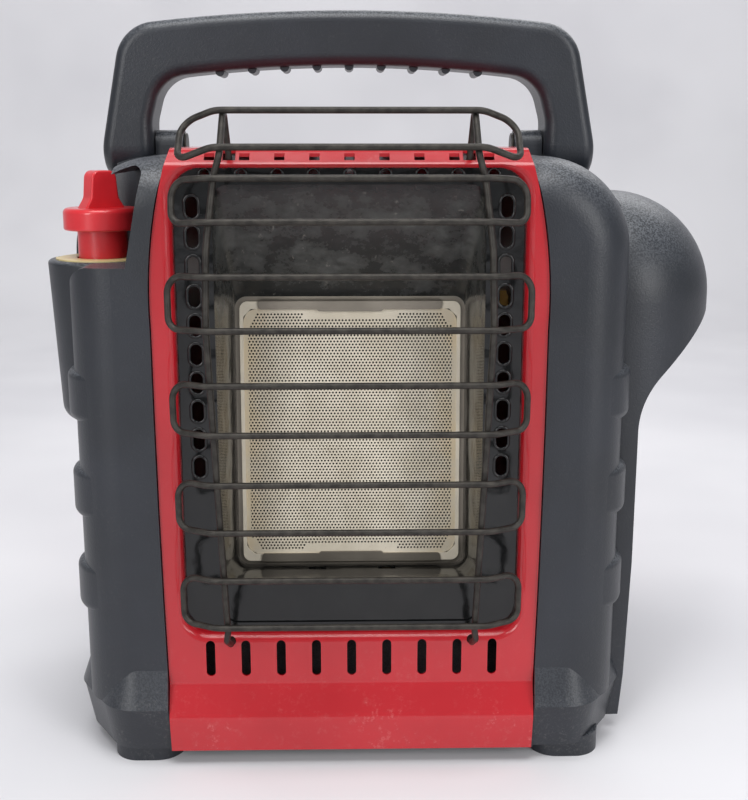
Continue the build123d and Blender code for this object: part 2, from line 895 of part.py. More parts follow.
with BuildPart() as right_side_panel:
    add(pillar_form(1, 0))
    add(wall_form(1, right_half, 0))
    add(shoulder_form(1, 0))
    for index in range(pad_count):
        add(pad_form(1, index, 0))
    add(bay_form(bay_r + wall, ledge_z))
    add(rim_trim(), mode=Mode.SUBTRACT)
    add(notch_form(1, 0), mode=Mode.SUBTRACT)
    add(right_cavity.part, mode=Mode.SUBTRACT)
    add(bay_form(bay_r, -form_lap), mode=Mode.SUBTRACT)
    extrude(seam_cut, amount=reach, both=True, mode=Mode.SUBTRACT)
    add(pivot_boss(1))
    with BuildSketch(Plane.YZ):
        with Locations((pivot_y, pivot_z)):
            Circle(pin_r)
    extrude(amount=far, mode=Mode.SUBTRACT)
    with BuildSketch(Plane.YZ.offset(bay_x - bay_r - 2 * wall)):
        with Locations((bay_y, elbow_z)):
            Circle(elbow_r)
    extrude(amount=3 * wall, mode=Mode.SUBTRACT)
right_side_panel.part.label = "right_side_panel"
export_step(right_side_panel.part, "parts/right_side_panel.step")

# ---- base ----
def base_blank(inset):
    """Outer form of the base between the floor of the tray and the side panels."""
    with BuildPart() as form:
        drop = base_low_z - ledge_z + inset
        for side in (-1, 1):
            extrude(shoulder_plan(side, base_step + inset), amount=drop, taper=base_draft)
        if inset == 0:
            extrude(seam_outline(seam_gap), amount=reach, both=True, mode=Mode.SUBTRACT)
        extrude(casing_outline(sheet + fit_gap + inset), amount=seam_low_x + 1.0, both=True)
        with BuildSketch(Plane.XY.offset(base_low_z + inset)):
            Rectangle(far, far)
        extrude(amount=ledge_z - base_low_z - inset, mode=Mode.INTERSECT)
    return form.part


with BuildPart() as base_pan:
    add(base_blank(0))
    with BuildSketch(Plane.XY.offset(base_low_z + wall)) as tray:
        for foot_x in (foot_left_x, foot_right_x):
            for foot_y in (-foot_middle_y, foot_middle_y):
                with Locations((foot_x, foot_y)):
                    Rectangle(foot_long, foot_deep)
        fillet(tray.vertices(), foot_round_r)
    extrude(amount=-base_low_z - wall)
    add(base_blank(wall), mode=Mode.SUBTRACT)
    add(bay_form(bay_r + wall, 0))
    with BuildSketch(Plane.XY.offset(ledge_z)):
        Rectangle(far, far)
    extrude(amount=far, mode=Mode.SUBTRACT)
    with BuildSketch(Plane.XY.offset(base_low_z)):
        with Locations((bay_x, bay_y)):
            Circle(bay_r + wall)
    extrude(amount=-base_low_z, mode=Mode.SUBTRACT)
    add(bay_form(bay_r, -form_lap), mode=Mode.SUBTRACT)
    add(rim_trim(), mode=Mode.SUBTRACT)
base_pan.part.label = "base_pan"
export_step(base_pan.part, "parts/base_pan.step")

# ---- reflector ----
with BuildPart() as reflector_surround:
    with BuildSketch(Plane.XZ.offset(-surround_y)) as plate:
        with Locations((0, (surround_top_z + surround_low_z) / 2)):
            Rectangle(2 * surround_half, surround_top_z - surround_low_z)
        fillet(plate.vertices().group_by(Axis.Y)[-1], window_top_r)
        mouth_high = mouth_top_z - surround_mouth_z
        with Locations((0, (mouth_top_z + surround_mouth_z) / 2)):
            RectangleRounded(2 * mouth_half, mouth_high, mouth_corner_r, mode=Mode.SUBTRACT)
        with Locations((0, side_hole_top_z - (side_hole_count - 1) * side_hole_pitch / 2)):
            with GridLocations(2 * side_hole_x, side_hole_pitch, 2, side_hole_count):
                SlotOverall(side_hole_high, side_hole_wide, rotation=90, mode=Mode.SUBTRACT)
        with Locations((0, top_hole_z)):
            with GridLocations(top_hole_pitch, 1.0, slot_count, 1):
                Circle(top_hole_r, mode=Mode.SUBTRACT)
    extrude(amount=-sheet)
reflector_surround.part.label = "reflector_surround"
export_step(reflector_surround.part, "parts/reflector_surround.step")

pan_front_y = surround_y + sheet
burner_plane = Plane(
    origin=(0, tile_front_y, tile_low_z),
    x_dir=(1, 0, 0),
    z_dir=(0, -cos(radians(tile_lean)), sin(radians(tile_lean))),
)


def pan_form(grow):
    """Funnel from the mouth of the reflector to the flange of the burner."""
    with BuildPart() as form:
        with BuildSketch(Plane.XZ.offset(-pan_front_y)):
            with Locations((0, (mouth_top_z + mouth_low_z) / 2)):
                RectangleRounded(
                    2 * (mouth_half + grow), mouth_top_z - mouth_low_z + 2 * grow, mouth_corner_r
                )
        with BuildSketch(burner_plane):
            with Locations((0, tile_high / 2)):
                RectangleRounded(
                    2 * (pan_rear_half + grow), tile_high + 2 * (pan_rear_margin + grow), mouth_corner_r - 2.0
                )
        loft()
    return form.part


heat_plate_top_z = mouth_low_z - sheet - fit_gap
with BuildPart() as reflector_pan:
    add(pan_form(sheet))
    with BuildSketch(Plane.XZ.offset(-pan_front_y)):
        with Locations((0, (mouth_top_z + mouth_low_z) / 2)):
            RectangleRounded(
                2 * (mouth_half + pan_rim), mouth_top_z - mouth_low_z + 2 * pan_rim, mouth_corner_r + pan_rim
            )
        with Locations((0, heat_plate_top_z - pan_rim)):
            Rectangle(4 * mouth_half, 2 * pan_rim, mode=Mode.SUBTRACT)
    extrude(amount=-sheet)
    add(pan_form(0), mode=Mode.SUBTRACT)
    with BuildSketch(Plane.XY.offset(pilot_plate_z)):
        with Locations((pilot_x, pilot_y), (sensor_x, pilot_y)):
            Rectangle(pilot_slot_wide, pilot_slot_deep)
    extrude(amount=tile_low_z - pilot_plate_z, mode=Mode.SUBTRACT)
reflector_pan.part.label = "reflector_pan"
export_step(reflector_pan.part, "parts/reflector_pan.step")

with BuildPart() as heat_plate:
    with BuildSketch(Plane.XZ.offset(-pan_front_y)):
        with Locations((0, (heat_plate_low_z + heat_plate_top_z) / 2)):
            Rectangle(2 * (mouth_half + pan_rim), heat_plate_top_z - heat_plate_low_z)
    extrude(amount=-sheet)
heat_plate.part.label = "heat_plate"
export_step(heat_plate.part, "parts/heat_plate.step")

# ---- burner ----
with BuildPart() as burner_plenum:
    with BuildSketch(burner_plane):
        with Locations((0, tile_high / 2)):
            Rectangle(2 * plenum_flange_half, tile_high + 2 * plenum_flange_margin)
    extrude(amount=-sheet)
    with BuildSketch(burner_plane):
        with Locations((0, tile_high / 2)):
            Rectangle(2 * (tile_half + fit_gap + sheet), tile_high + 2 * (fit_gap + sheet))
    extrude(amount=-plenum_deep)
    with BuildSketch(burner_plane):
        with Locations((0, tile_high / 2)):
            Rectangle(2 * (tile_half + fit_gap), tile_high + 2 * fit_gap)
    extrude(amount=sheet - plenum_deep, mode=Mode.SUBTRACT)
    plenum_block = burner_plane.offset(-plenum_deep)
    with BuildSketch(plenum_block):
        with Locations((0, port_v)):
            Circle(throat_r - sheet)
    extrude(amount=2 * sheet, mode=Mode.SUBTRACT)
burner_plenum.part.label = "burner_plenum"
export_step(burner_plenum.part, "parts/burner_plenum.step")

with BuildPart() as ceramic_tile:
    with BuildSketch(burner_plane.offset(tile_proud)) as face:
        with Locations((0, tile_high / 2)):
            Rectangle(2 * tile_half, tile_high)
        chamfer(face.vertices(), tile_chamfer)
    extrude(amount=-tile_thick)
ceramic_tile.part.label = "ceramic_tile"
export_step(ceramic_tile.part, "parts/ceramic_tile.step")

with BuildPart() as tile_frame:
    with BuildSketch(burner_plane):
        with Locations((0, tile_high / 2)):
            RectangleRounded(2 * frame_half, tile_high + 2 * frame_margin, frame_corner_r)
    extrude(amount=tile_proud + frame_thick)
    with BuildSketch(burner_plane) as pocket:
        with Locations((0, tile_high / 2)):
            Rectangle(2 * (tile_half + run_clearance), tile_high + 2 * run_clearance)
        chamfer(pocket.vertices(), tile_chamfer)
    extrude(amount=tile_proud + frame_thick, mode=Mode.SUBTRACT)
tile_frame.part.label = "tile_frame"
export_step(tile_frame.part, "parts/tile_frame.step")

clip_plane = burner_plane.offset(tile_proud + frame_thick)
for clip_name, clip_v, turn in (("top_tile_clip", tile_high, -1), ("bottom_tile_clip", 0.0, 1)):
    with BuildPart() as tile_clip:
        with BuildSketch(clip_plane):
            with Locations((0, clip_v - turn * (frame_margin - clip_high) / 2)):
                Rectangle(2 * clip_half, clip_high + frame_margin)
            with Locations((0, clip_v + turn * clip_high)):
                Rectangle(2 * clip_tab_half, 2 * clip_tab_high)
        extrude(amount=sheet)
        with BuildSketch(clip_plane.offset(sheet)):
            with Locations((0, clip_v - turn * (frame_margin + sheet / 2))):
                Rectangle(2 * clip_half, sheet)
        extrude(amount=-tile_proud - frame_thick - sheet)
    tile_clip.part.label = clip_name
    export_step(tile_clip.part, f"parts/{clip_name}.step")

mix_bottom_z = orifice_z + jet_gap
mix_section = Plane(origin=(0, mix_y, 0), x_dir=(1, 0, 0), z_dir=(0, -1, 0))
mix_axis = Axis((0, mix_y, 0), (0, 0, 1))
port_y = tile_front_y + port_v * sin(radians(tile_lean)) + plenum_deep * cos(radians(tile_lean))
stub_long = (mix_y - port_y) / cos(radians(tile_lean))


def mixing_tube(shrink):
    """Bell mouth, throat and port of the venturi, as a solid."""
    with BuildPart() as form:
        with BuildSketch(mix_section):
            with BuildLine():
                Polyline(
                    (0, mix_bottom_z),
                    (bell_r - shrink, mix_bottom_z),
                    (bell_r - shrink, mix_bottom_z + bell_high),
                    (throat_r - shrink, mix_bottom_z + throat_high),
                    (throat_r - shrink, mix_top_z - shrink),
                    (0, mix_top_z - shrink),
                    close=True,
                )
            make_face()
        revolve(axis=mix_axis)
        with BuildSketch(plenum_block):
            with Locations((0, port_v)):
                Circle(throat_r - shrink)
        extrude(amount=-stub_long)
    return form.part


with BuildPart() as venturi:
    add(mixing_tube(0))
    add(mixing_tube(sheet), mode=Mode.SUBTRACT)
venturi.part.label = "venturi"
export_step(venturi.part, "parts/venturi.step")

with BuildPart() as air_shutter:
    with BuildSketch(Plane.XY.offset(orifice_z)):
        with Locations((0, mix_y)):
            Circle(bell_r + run_clearance + sheet)
            Circle(jet_r, mode=Mode.SUBTRACT)
    extrude(amount=sheet)
    with BuildSketch(Plane.XY.offset(orifice_z)):
        with Locations((0, mix_y)):
            Circle(bell_r + run_clearance + sheet)
            Circle(bell_r + run_clearance, mode=Mode.SUBTRACT)
    extrude(amount=mix_bottom_z - orifice_z + 5.0)
    with BuildSketch(Plane.XY.offset(orifice_z + 3.0)):
        with Locations((0, mix_y)):
            Rectangle(3 * bell_r, bell_r)
            Rectangle(bell_r, 3 * bell_r)
    extrude(amount=mix_bottom_z - orifice_z - 4.0, mode=Mode.SUBTRACT)
air_shutter.part.label = "air_shutter"
export_step(air_shutter.part, "parts/air_shutter.step")

with BuildPart() as orifice:
    with BuildSketch(Plane.XY.offset(orifice_z)):
        with Locations((0, mix_y)):
            RegularPolygon(jet_hex_r, 6)
    extrude(amount=-8.0)
    with BuildSketch(Plane.XY.offset(orifice_z)):
        with Locations((0, mix_y)):
            Circle(jet_r)
    extrude(amount=9.0)
    with BuildSketch(Plane.XY.offset(orifice_z + 9.0)):
        with Locations((0, mix_y)):
            Circle(0.6)
    extrude(amount=-5.0, mode=Mode.SUBTRACT)
orifice.part.label = "orifice"
export_step(orifice.part, "parts/orifice.step")


# ---- pilot, flame sensor and igniter ----
with BuildPart() as pilot_bracket:
    with BuildSketch(Plane.XZ.offset(-pan_front_y - sheet)):
        with Locations((0, pilot_plate_z + pilot_bracket_high / 2)):
            Rectangle(2 * pilot_bracket_half, pilot_bracket_high)
    extrude(amount=-sheet)
    with BuildSketch(Plane.XY.offset(pilot_plate_z)):
        with Locations((0, (pan_front_y + sheet + pilot_y + pilot_shelf) / 2)):
            Rectangle(2 * pilot_bracket_half, pilot_y + pilot_shelf - pan_front_y - sheet)
        with Locations((pilot_x, pilot_y)):
            Circle(pilot_r + run_clearance, mode=Mode.SUBTRACT)
        with Locations((sensor_x, pilot_y), (igniter_x, pilot_y)):
            Circle(probe_r + run_clearance, mode=Mode.SUBTRACT)
    extrude(amount=sheet)
pilot_bracket.part.label = "pilot_bracket"
export_step(pilot_bracket.part, "parts/pilot_bracket.step")

for probe_name, probe_x, shank_r, tip_r in (
    ("pilot_burner", pilot_x, pilot_r, pilot_tip_r),
    ("flame_sensor", sensor_x, probe_r, sensor_tip_r),
    ("igniter_electrode", igniter_x, probe_r, igniter_tip_r),
):
    with BuildPart() as probe:
        with BuildSketch(Plane.XY.offset(pilot_plate_z)):
            with Locations((probe_x, pilot_y)):
                RegularPolygon(shank_r + probe_nut_rim, 6)
        extrude(amount=-probe_nut_high)
        with BuildSketch(Plane.XY.offset(pilot_plate_z - probe_half)):
            with Locations((probe_x, pilot_y)):
                Circle(shank_r)
        extrude(amount=2 * probe_half)
        with BuildSketch(Plane.XY.offset(pilot_plate_z + probe_half)):
            with Locations((probe_x, pilot_y)):
                Circle(tip_r)
        extrude(amount=probe_tip_high)
    probe.part.label = probe_name
    export_step(probe.part, f"parts/{probe_name}.step")


# ---- wire guard ----
def round_bar(points, radii, radius, close=False):
    """Round bar bent along straight runs joined by tangent arcs."""
    with BuildPart() as bar:
        with BuildLine() as route:
            FilletPolyline(*points, radius=radii, close=close)
        path = route.wire()
        with BuildSketch(Plane(origin=path @ 0, z_dir=path % 0)):
            Circle(radius)
        sweep(path=path)
    return bar.part


def guard_loop(half, top_y, top_z, low_y, low_z):
    """One loop of two long wires, whose ends bend back square to its own plane."""
    bend_x = half - loop_end_long
    tall = ((low_y - top_y) ** 2 + (low_z - top_z) ** 2) ** 0.5
    back_y = guard_turn_back * (top_z - low_z) / tall
    back_z = guard_turn_back * (low_y - top_y) / tall
    points = [
        (bend_x, top_y, top_z),
        (half, top_y + back_y, top_z + back_z),
        (half, low_y + back_y, low_z + back_z),
        (bend_x, low_y, low_z),
        (-bend_x, low_y, low_z),
        (-half, low_y + back_y, low_z + back_z),
        (-half, top_y + back_y, top_z + back_z),
        (-bend_x, top_y, top_z),
    ]
    radii = [
        loop_ease_r,
        loop_top_r,
        loop_low_r,
        loop_ease_r,
        loop_ease_r,
        loop_low_r,
        loop_top_r,
        loop_ease_r,
    ]
    return round_bar(points, radii, wire_r, close=True)


with BuildPart() as guard_loops:
    for wires in loop_wires:
        add(guard_loop(*wires))
guard_loops.part.label = "guard_loops"
export_step(guard_loops.part, "parts/guard_loops.step")

with BuildPart() as guard_rods:
    for side in (-1, 1):
        rod_points = [
            (side * rod_foot_x, front_y + rod_foot_deep, rod_foot_z),
            (side * rod_foot_x, front_y - rod_sole, rod_foot_z),
            (side * rod_foot_x, rod_toe_y, rod_toe_z),
            (side * rod_low_x, rod_low_y, rod_low_z),
            (side * rod_mid_x, (rod_low_y + rod_wide_y) / 2, (rod_low_z + rod_wide_z) / 2),
            (side * rod_wide_x, rod_wide_y, rod_wide_z),
            (side * rod_high_x, rod_wide_y, rod_high_z),
            (side * rod_neck_x, rod_neck_y, rod_neck_z),
            (side * rod_crest_x, crest_foot_y, crest_foot_z),
            (side * rod_crest_x, crest_tip_y, crest_tip_z),
            (side * rod_top_x, rod_slot_y, rod_end_z),
        ]
        add(round_bar(rod_points, rod_radii, wire_r))
guard_rods.part.label = "guard_rods"
export_step(guard_rods.part, "parts/guard_rods.step")

# ---- handle ----
corner_z = handle_top_z - grip_crown
inner_top_z = handle_top_z - grip_high
inner_corner_z = inner_top_z - inner_crown
inner_bend_z = pivot_z + boss_r + arm_straight
with BuildPart() as handle:
    with BuildSketch(Plane.XZ.offset(-pivot_y - arm_half_deep)) as bow:
        with BuildLine():
            arm_low_z = pivot_z - arm_half_deep
            Polyline((arm_outer, arm_low_z), (arm_outer, pivot_z), (bow_outer_x, corner_z))
            ThreePointArc((bow_outer_x, corner_z), (0, handle_top_z), (-bow_outer_x, corner_z))
            Polyline((-bow_outer_x, corner_z), (-arm_outer, pivot_z), (-arm_outer, arm_low_z))
            Line((-arm_outer, arm_low_z), (-arm_inner, arm_low_z))
            Polyline((-arm_inner, arm_low_z), (-arm_inner, inner_bend_z), (-bow_inner_x, inner_corner_z))
            ThreePointArc((-bow_inner_x, inner_corner_z), (0, inner_top_z), (bow_inner_x, inner_corner_z))
            Polyline((bow_inner_x, inner_corner_z), (arm_inner, inner_bend_z), (arm_inner, arm_low_z))
            Line((arm_inner, arm_low_z), (arm_outer, arm_low_z))
        make_face()
        for side in (-1, 1):
            fillet(bow.vertices().sort_by_distance((side * arm_outer, pivot_z))[0], arm_bend_r)
            fillet(bow.vertices().sort_by_distance((side * bow_outer_x, corner_z))[0], bow_outer_r)
            fillet(bow.vertices().sort_by_distance((side * arm_inner, inner_bend_z))[0], inner_bend_r)
            fillet(bow.vertices().sort_by_distance((side * bow_inner_x, inner_corner_z))[0], bow_inner_r)
    extrude(amount=2 * arm_half_deep)
    end_edges = handle.edges().filter_by(Axis.X).group_by(Axis.Z)[0]
    fillet(end_edges, arm_half_deep - 0.1)
    rims = handle.faces().filter_by(Plane.XZ)
    fillet(rims.edges(), handle_round_r)
    grip_radius = (bow_inner_x**2 + inner_crown**2) / (2 * inner_crown)
    with BuildSketch(Plane.XZ.offset(-pivot_y - grip_rib_long / 2)):
        for index in range(grip_rib_count):
            rib_x = (index - (grip_rib_count - 1) / 2) * grip_rib_pitch
            rib_z = inner_top_z - grip_radius + (grip_radius**2 - rib_x**2) ** 0.5
            with Locations((rib_x, rib_z)):
                Circle(grip_rib_r)
    extrude(amount=grip_rib_long)
    with BuildSketch(Plane.YZ.offset(-arm_inner - pin_reach)):
        with Locations((pivot_y, pivot_z)):
            Circle(pin_r + run_clearance)
    extrude(amount=2 * (arm_inner + pin_reach), mode=Mode.SUBTRACT)
handle.part.label = "handle"
export_step(handle.part, "parts/handle.step")

with BuildPart() as pivot_pins:
    for side in (-1, 1):
        with BuildSketch(Plane.YZ.offset(side * boss_inner)):
            with Locations((pivot_y, pivot_z)):
                Circle(pin_r)
        extrude(amount=side * (arm_inner + pin_reach - 1.0 - boss_inner))
        with BuildSketch(Plane.YZ.offset(side * boss_inner)):
            with Locations((pivot_y, pivot_z)):
                Circle(pin_head_r)
        extrude(amount=-side * pin_head_high)
    head_rims = pivot_pins.edges().filter_by(GeomType.CIRCLE).group_by(lambda e: round(e.radius, 2))[-1]
    fillet(head_rims, pin_edge_r)
pivot_pins.part.label = "pivot_pins"
export_step(pivot_pins.part, "parts/pivot_pins.step")

# ---- control valve and knob ----
knob_section = Plane(origin=(knob_x, knob_y, 0), x_dir=(1, 0, 0), z_dir=(0, -1, 0))
knob_axis = Axis((knob_x, knob_y, 0), (0, 0, 1))
cup_floor_z = platform_z - cup_deep
valve_top_z = cup_floor_z - wall

with BuildPart() as gas_valve:
    with BuildSketch(Plane.XY.offset(valve_top_z - bonnet_high)):
        with Locations((knob_x, knob_y)):
            Rectangle(valve_wide, valve_deep)
    extrude(amount=-valve_high)
    chamfer(gas_valve.edges().filter_by(Axis.Z), 2.0)
    with BuildSketch(Plane.XY.offset(valve_top_z - bonnet_high)):
        with Locations((knob_x, knob_y)):
            Circle(bonnet_r)
    extrude(amount=bonnet_high)
    with BuildSketch(Plane.XY.offset(valve_top_z)):
        with Locations((knob_x, knob_y)):
            Circle(neck_r)
    extrude(amount=neck_high)
    with BuildSketch(Plane.XY.offset(valve_top_z + neck_high)):
        with Locations((knob_x, knob_y)):
            Circle(spindle_r + run_clearance)
    extrude(amount=-neck_high - spindle_deep, mode=Mode.SUBTRACT)
gas_valve.part.label = "gas_valve"
export_step(gas_valve.part, "parts/gas_valve.step")

with BuildPart() as valve_nut:
    with BuildSketch(Plane.XY.offset(cup_floor_z)):
        with Locations((knob_x, knob_y)):
            RegularPolygon(valve_nut_r, 6)
            Circle(neck_r, mode=Mode.SUBTRACT)
    extrude(amount=3.0)
valve_nut.part.label = "valve_nut"
export_step(valve_nut.part, "parts/valve_nut.step")

with BuildPart() as valve_spindle:
    with BuildSketch(Plane.XY.offset(valve_top_z + neck_high - spindle_deep)):
        with Locations((knob_x, knob_y)):
            Circle(spindle_r)
    extrude(amount=spindle_top_z - valve_top_z - neck_high + spindle_deep)
    with BuildSketch(Plane.XY.offset(spindle_top_z)):
        with Locations((knob_x, knob_y + spindle_r)):
            Rectangle(2 * spindle_r, spindle_r)
    extrude(amount=-spindle_flat_long, mode=Mode.SUBTRACT)
valve_spindle.part.label = "valve_spindle"
export_step(valve_spindle.part, "parts/valve_spindle.step")

with BuildPart() as knob:
    with BuildSketch(knob_section) as half:
        with BuildLine():
            Polyline(
                (0, skirt_low_z),
                (skirt_r, skirt_low_z),
                (skirt_r, disc_low_z),
                (disc_r, disc_low_z),
                (disc_r, disc_top_z),
                (0, disc_top_z),
                close=True,
            )
        make_face()
        fillet(half.vertices().sort_by_distance((disc_r, disc_top_z))[0], disc_round_r)
        fillet(half.vertices().sort_by_distance((disc_r, disc_low_z))[0], 1.0)
    revolve(axis=knob_axis)
    wing_plane = Plane(
        origin=(knob_x, knob_y, 0),
        x_dir=(cos(radians(wing_turn)), sin(radians(wing_turn)), 0),
        z_dir=(sin(radians(wing_turn)), -cos(radians(wing_turn)), 0),
    )
    with BuildSketch(wing_plane) as wing:
        with BuildLine():
            Polyline(
                (-wing_foot_half, disc_top_z - 1.0),
                (wing_foot_half, disc_top_z - 1.0),
                (wing_foot_half, disc_top_z),
                (wing_waist_half, disc_top_z + wing_foot_high),
                (wing_top_half, knob_top_z),
                (-wing_top_half, knob_top_z),
                (-wing_waist_half, disc_top_z + wing_foot_high),
                (-wing_foot_half, disc_top_z),
                close=True,
            )
        make_face()
        for side in (-1, 1):
            waist_at = (side * wing_waist_half, disc_top_z + wing_foot_high)
            fillet(wing.vertices().sort_by_distance(waist_at)[0], wing_waist_r)
            fillet(wing.vertices().sort_by_distance((side * wing_top_half, knob_top_z))[0], wing_top_r)
    extrude(amount=wing_thick / 2, both=True)
    top_edges = knob.faces().sort_by(Axis.Z)[-1].edges()
    fillet(top_edges, knob_edge_r)
    with BuildSketch(Plane.XY.offset(skirt_low_z)):
        with Locations((knob_x, knob_y)):
            Circle(skirt_r - 2.0)
    extrude(amount=skirt_hollow, mode=Mode.SUBTRACT)
    with BuildSketch(Plane.XY.offset(skirt_low_z)) as bore:
        with Locations((knob_x, knob_y)):
            Circle(spindle_r + run_clearance)
    extrude(amount=spindle_top_z + knob_travel + 1.0 - skirt_low_z, mode=Mode.SUBTRACT)
knob.part.label = "knob"
export_step(knob.part, "parts/knob.step")

with BuildPart() as dial_ring:
    with BuildSketch(Plane.XY.offset(platform_z)):
        with Locations((knob_x, knob_y)):
            Circle(dial_r)
        with Locations((knob_x, knob_y + 2 * dial_r)):
            Rectangle(4 * dial_r, 4 * dial_r, mode=Mode.SUBTRACT)
        with Locations((knob_x, knob_y)):
            Circle(recess_r - fit_gap)
            Circle(cup_r, mode=Mode.SUBTRACT)
        with Locations((recess_edge_x - fit_gap + dial_r, knob_y)):
            Rectangle(2 * dial_r, 4 * dial_r, mode=Mode.SUBTRACT)
    extrude(amount=dial_thick)
dial_ring.part.label = "dial_ring"
export_step(dial_ring.part, "parts/dial_ring.step")

piezo_x = knob_x + valve_wide / 2
with BuildPart() as piezo_igniter:
    with BuildSketch(Plane.XY.offset(valve_top_z - bonnet_high - 2.0)):
        with Locations((piezo_x + piezo_wide / 2, knob_y)):
            Rectangle(piezo_wide, piezo_deep)
    extrude(amount=-piezo_high)
    with BuildSketch(Plane.XY.offset(valve_top_z - bonnet_high - 2.0)):
        with Locations((piezo_x + piezo_wide / 2, knob_y)):
            Circle(3.0)
    extrude(amount=4.0)
piezo_igniter.part.label = "piezo_igniter"
export_step(piezo_igniter.part, "parts/piezo_igniter.step")

# ---- gas inlet and regulator ----
with BuildPart() as gas_inlet:
    with BuildSketch(Plane.YZ.offset(inlet_tail_x)):
        with Locations((bay_y, elbow_z)):
            Circle(elbow_r - run_clearance)
    extrude(amount=swivel_x - inlet_tail_x)
    with BuildSketch(Plane.YZ.offset(inlet_nut_x)):
        with Locations((bay_y, elbow_z)):
            RegularPolygon(inlet_nut_r, 6)
    extrude(amount=-inlet_nut_high)
    with BuildSketch(Plane.XZ.offset(-bay_y)):
        with Locations((swivel_x, elbow_z)):
            Circle(barrel_r)
    extrude(amount=barrel_half, both=True)
    with BuildSketch(Plane.XZ.offset(-bay_y)):
        with Locations((swivel_x, elbow_z)):
            Circle(trunnion_r)
    extrude(amount=barrel_half + lug_gap + lug_thick, both=True)
gas_inlet.part.label = "gas_inlet"
export_step(gas_inlet.part, "parts/gas_inlet.step")

with BuildPart() as regulator_body:
    with BuildSketch(Plane(origin=(bay_x, bay_y, 0), x_dir=(1, 0, 0), z_dir=(0, -1, 0))):
        with BuildLine():
            Polyline(
                (0, inlet_face_z),
                (inlet_boss_r, inlet_face_z),
                (inlet_boss_r, inlet_face_z + inlet_boss_high),
                (neck_outer_r, inlet_face_z + inlet_boss_high + 3.0),
                (neck_outer_r, bowl_low_z),
                (bowl_r, bowl_low_z + bowl_rim),
                (bowl_r, bowl_top_z),
                (0, bowl_top_z),
                close=True,
            )
        make_face()
    revolve(axis=Axis((bay_x, bay_y, 0), (0, 0, 1)))
    for side in (-1, 1):
        lug_low_y = bay_y + side * (barrel_half + lug_gap)
        with BuildSketch(Plane.XZ.offset(-lug_low_y)):
            with Locations((swivel_x, elbow_z)):
                Circle(lug_r)
            with Locations(((swivel_x + bay_x) / 2, elbow_z)):
                Rectangle(bay_x - swivel_x, 2 * lug_r)
        extrude(amount=-side * lug_thick)
    with BuildSketch(Plane.XZ.offset(-bay_y)):
        with Locations((swivel_x, elbow_z)):
            Circle(trunnion_r + run_clearance)
    extrude(amount=reach, both=True, mode=Mode.SUBTRACT)
    with BuildSketch(Plane.XZ.offset(-bay_y)):
        with Locations((swivel_x, elbow_z)):
            Circle(barrel_r + 2 * lug_gap)
    extrude(amount=barrel_half + lug_gap, both=True, mode=Mode.SUBTRACT)
    with BuildSketch(Plane.XY.offset(inlet_face_z)):
        with Locations((bay_x, bay_y)):
            Circle(inlet_thread_r)
    extrude(amount=inlet_thread_deep, mode=Mode.SUBTRACT)
    with BuildSketch(Plane.XY.offset(inlet_face_z + inlet_thread_deep)):
        with Locations((bay_x, bay_y)):
            Circle(seal_pocket_r)
    extrude(amount=seal_thick, mode=Mode.SUBTRACT)
regulator_body.part.label = "regulator_body"
export_step(regulator_body.part, "parts/regulator_body.step")

with BuildPart() as regulator_cap:
    with BuildSketch(Plane(origin=(bay_x, bay_y, 0), x_dir=(1, 0, 0), z_dir=(0, -1, 0))) as half:
        with BuildLine():
            Polyline(
                (0, bowl_top_z),
                (bowl_r, bowl_top_z),
                (bowl_r, bowl_top_z + bowl_rim),
                (bowl_r - cap_slope, bowl_top_z + cap_high),
                (spring_tower_r, bowl_top_z + cap_high),
                (spring_tower_r, bowl_top_z + tower_high),
                (0, bowl_top_z + tower_high),
                close=True,
            )
        make_face()
    revolve(axis=Axis((bay_x, bay_y, 0), (0, 0, 1)))
regulator_cap.part.label = "regulator_cap"
export_step(regulator_cap.part, "parts/regulator_cap.step")

with BuildPart() as inlet_seal:
    with BuildSketch(Plane.XY.offset(inlet_face_z + inlet_thread_deep)):
        with Locations((bay_x, bay_y)):
            Circle(seal_pocket_r - run_clearance)
            Circle(seal_bore_r, mode=Mode.SUBTRACT)
    extrude(amount=seal_thick)
inlet_seal.part.label = "inlet_seal"
export_step(inlet_seal.part, "parts/inlet_seal.step")

# ---- gas tubes ----
supply_y = mix_y + throat_r + tube_clearance
valve_port_z = valve_top_z - bonnet_high - valve_high / 2
supply_tube = round_bar(
    [
        (inlet_tail_x, bay_y, elbow_z),
        (inlet_tail_x - tube_bend_long, bay_y, elbow_z),
        (inlet_tail_x - tube_bend_long, supply_y, elbow_z),
        (knob_x, supply_y, valve_port_z),
        (knob_x, knob_y + valve_deep / 2, valve_port_z),
    ],
    [8.0, 12.0, 15.0],
    tube_r,
)
supply_tube.label = "supply_tube"
export_step(supply_tube, "parts/supply_tube.step")

valve_low_z = valve_top_z - bonnet_high - valve_high
burner_tube = round_bar(
    [
        (knob_x, knob_y, valve_low_z),
        (knob_x, knob_y, tube_run_z),
        (knob_x, mix_y, tube_run_z),
        (0, mix_y, tube_run_z),
        (0, mix_y, orifice_z - 8.0),
    ],
    [18.0, 18.0, 9.0],
    tube_r,
)
burner_tube.label = "burner_tube"
export_step(burner_tube, "parts/burner_tube.step")

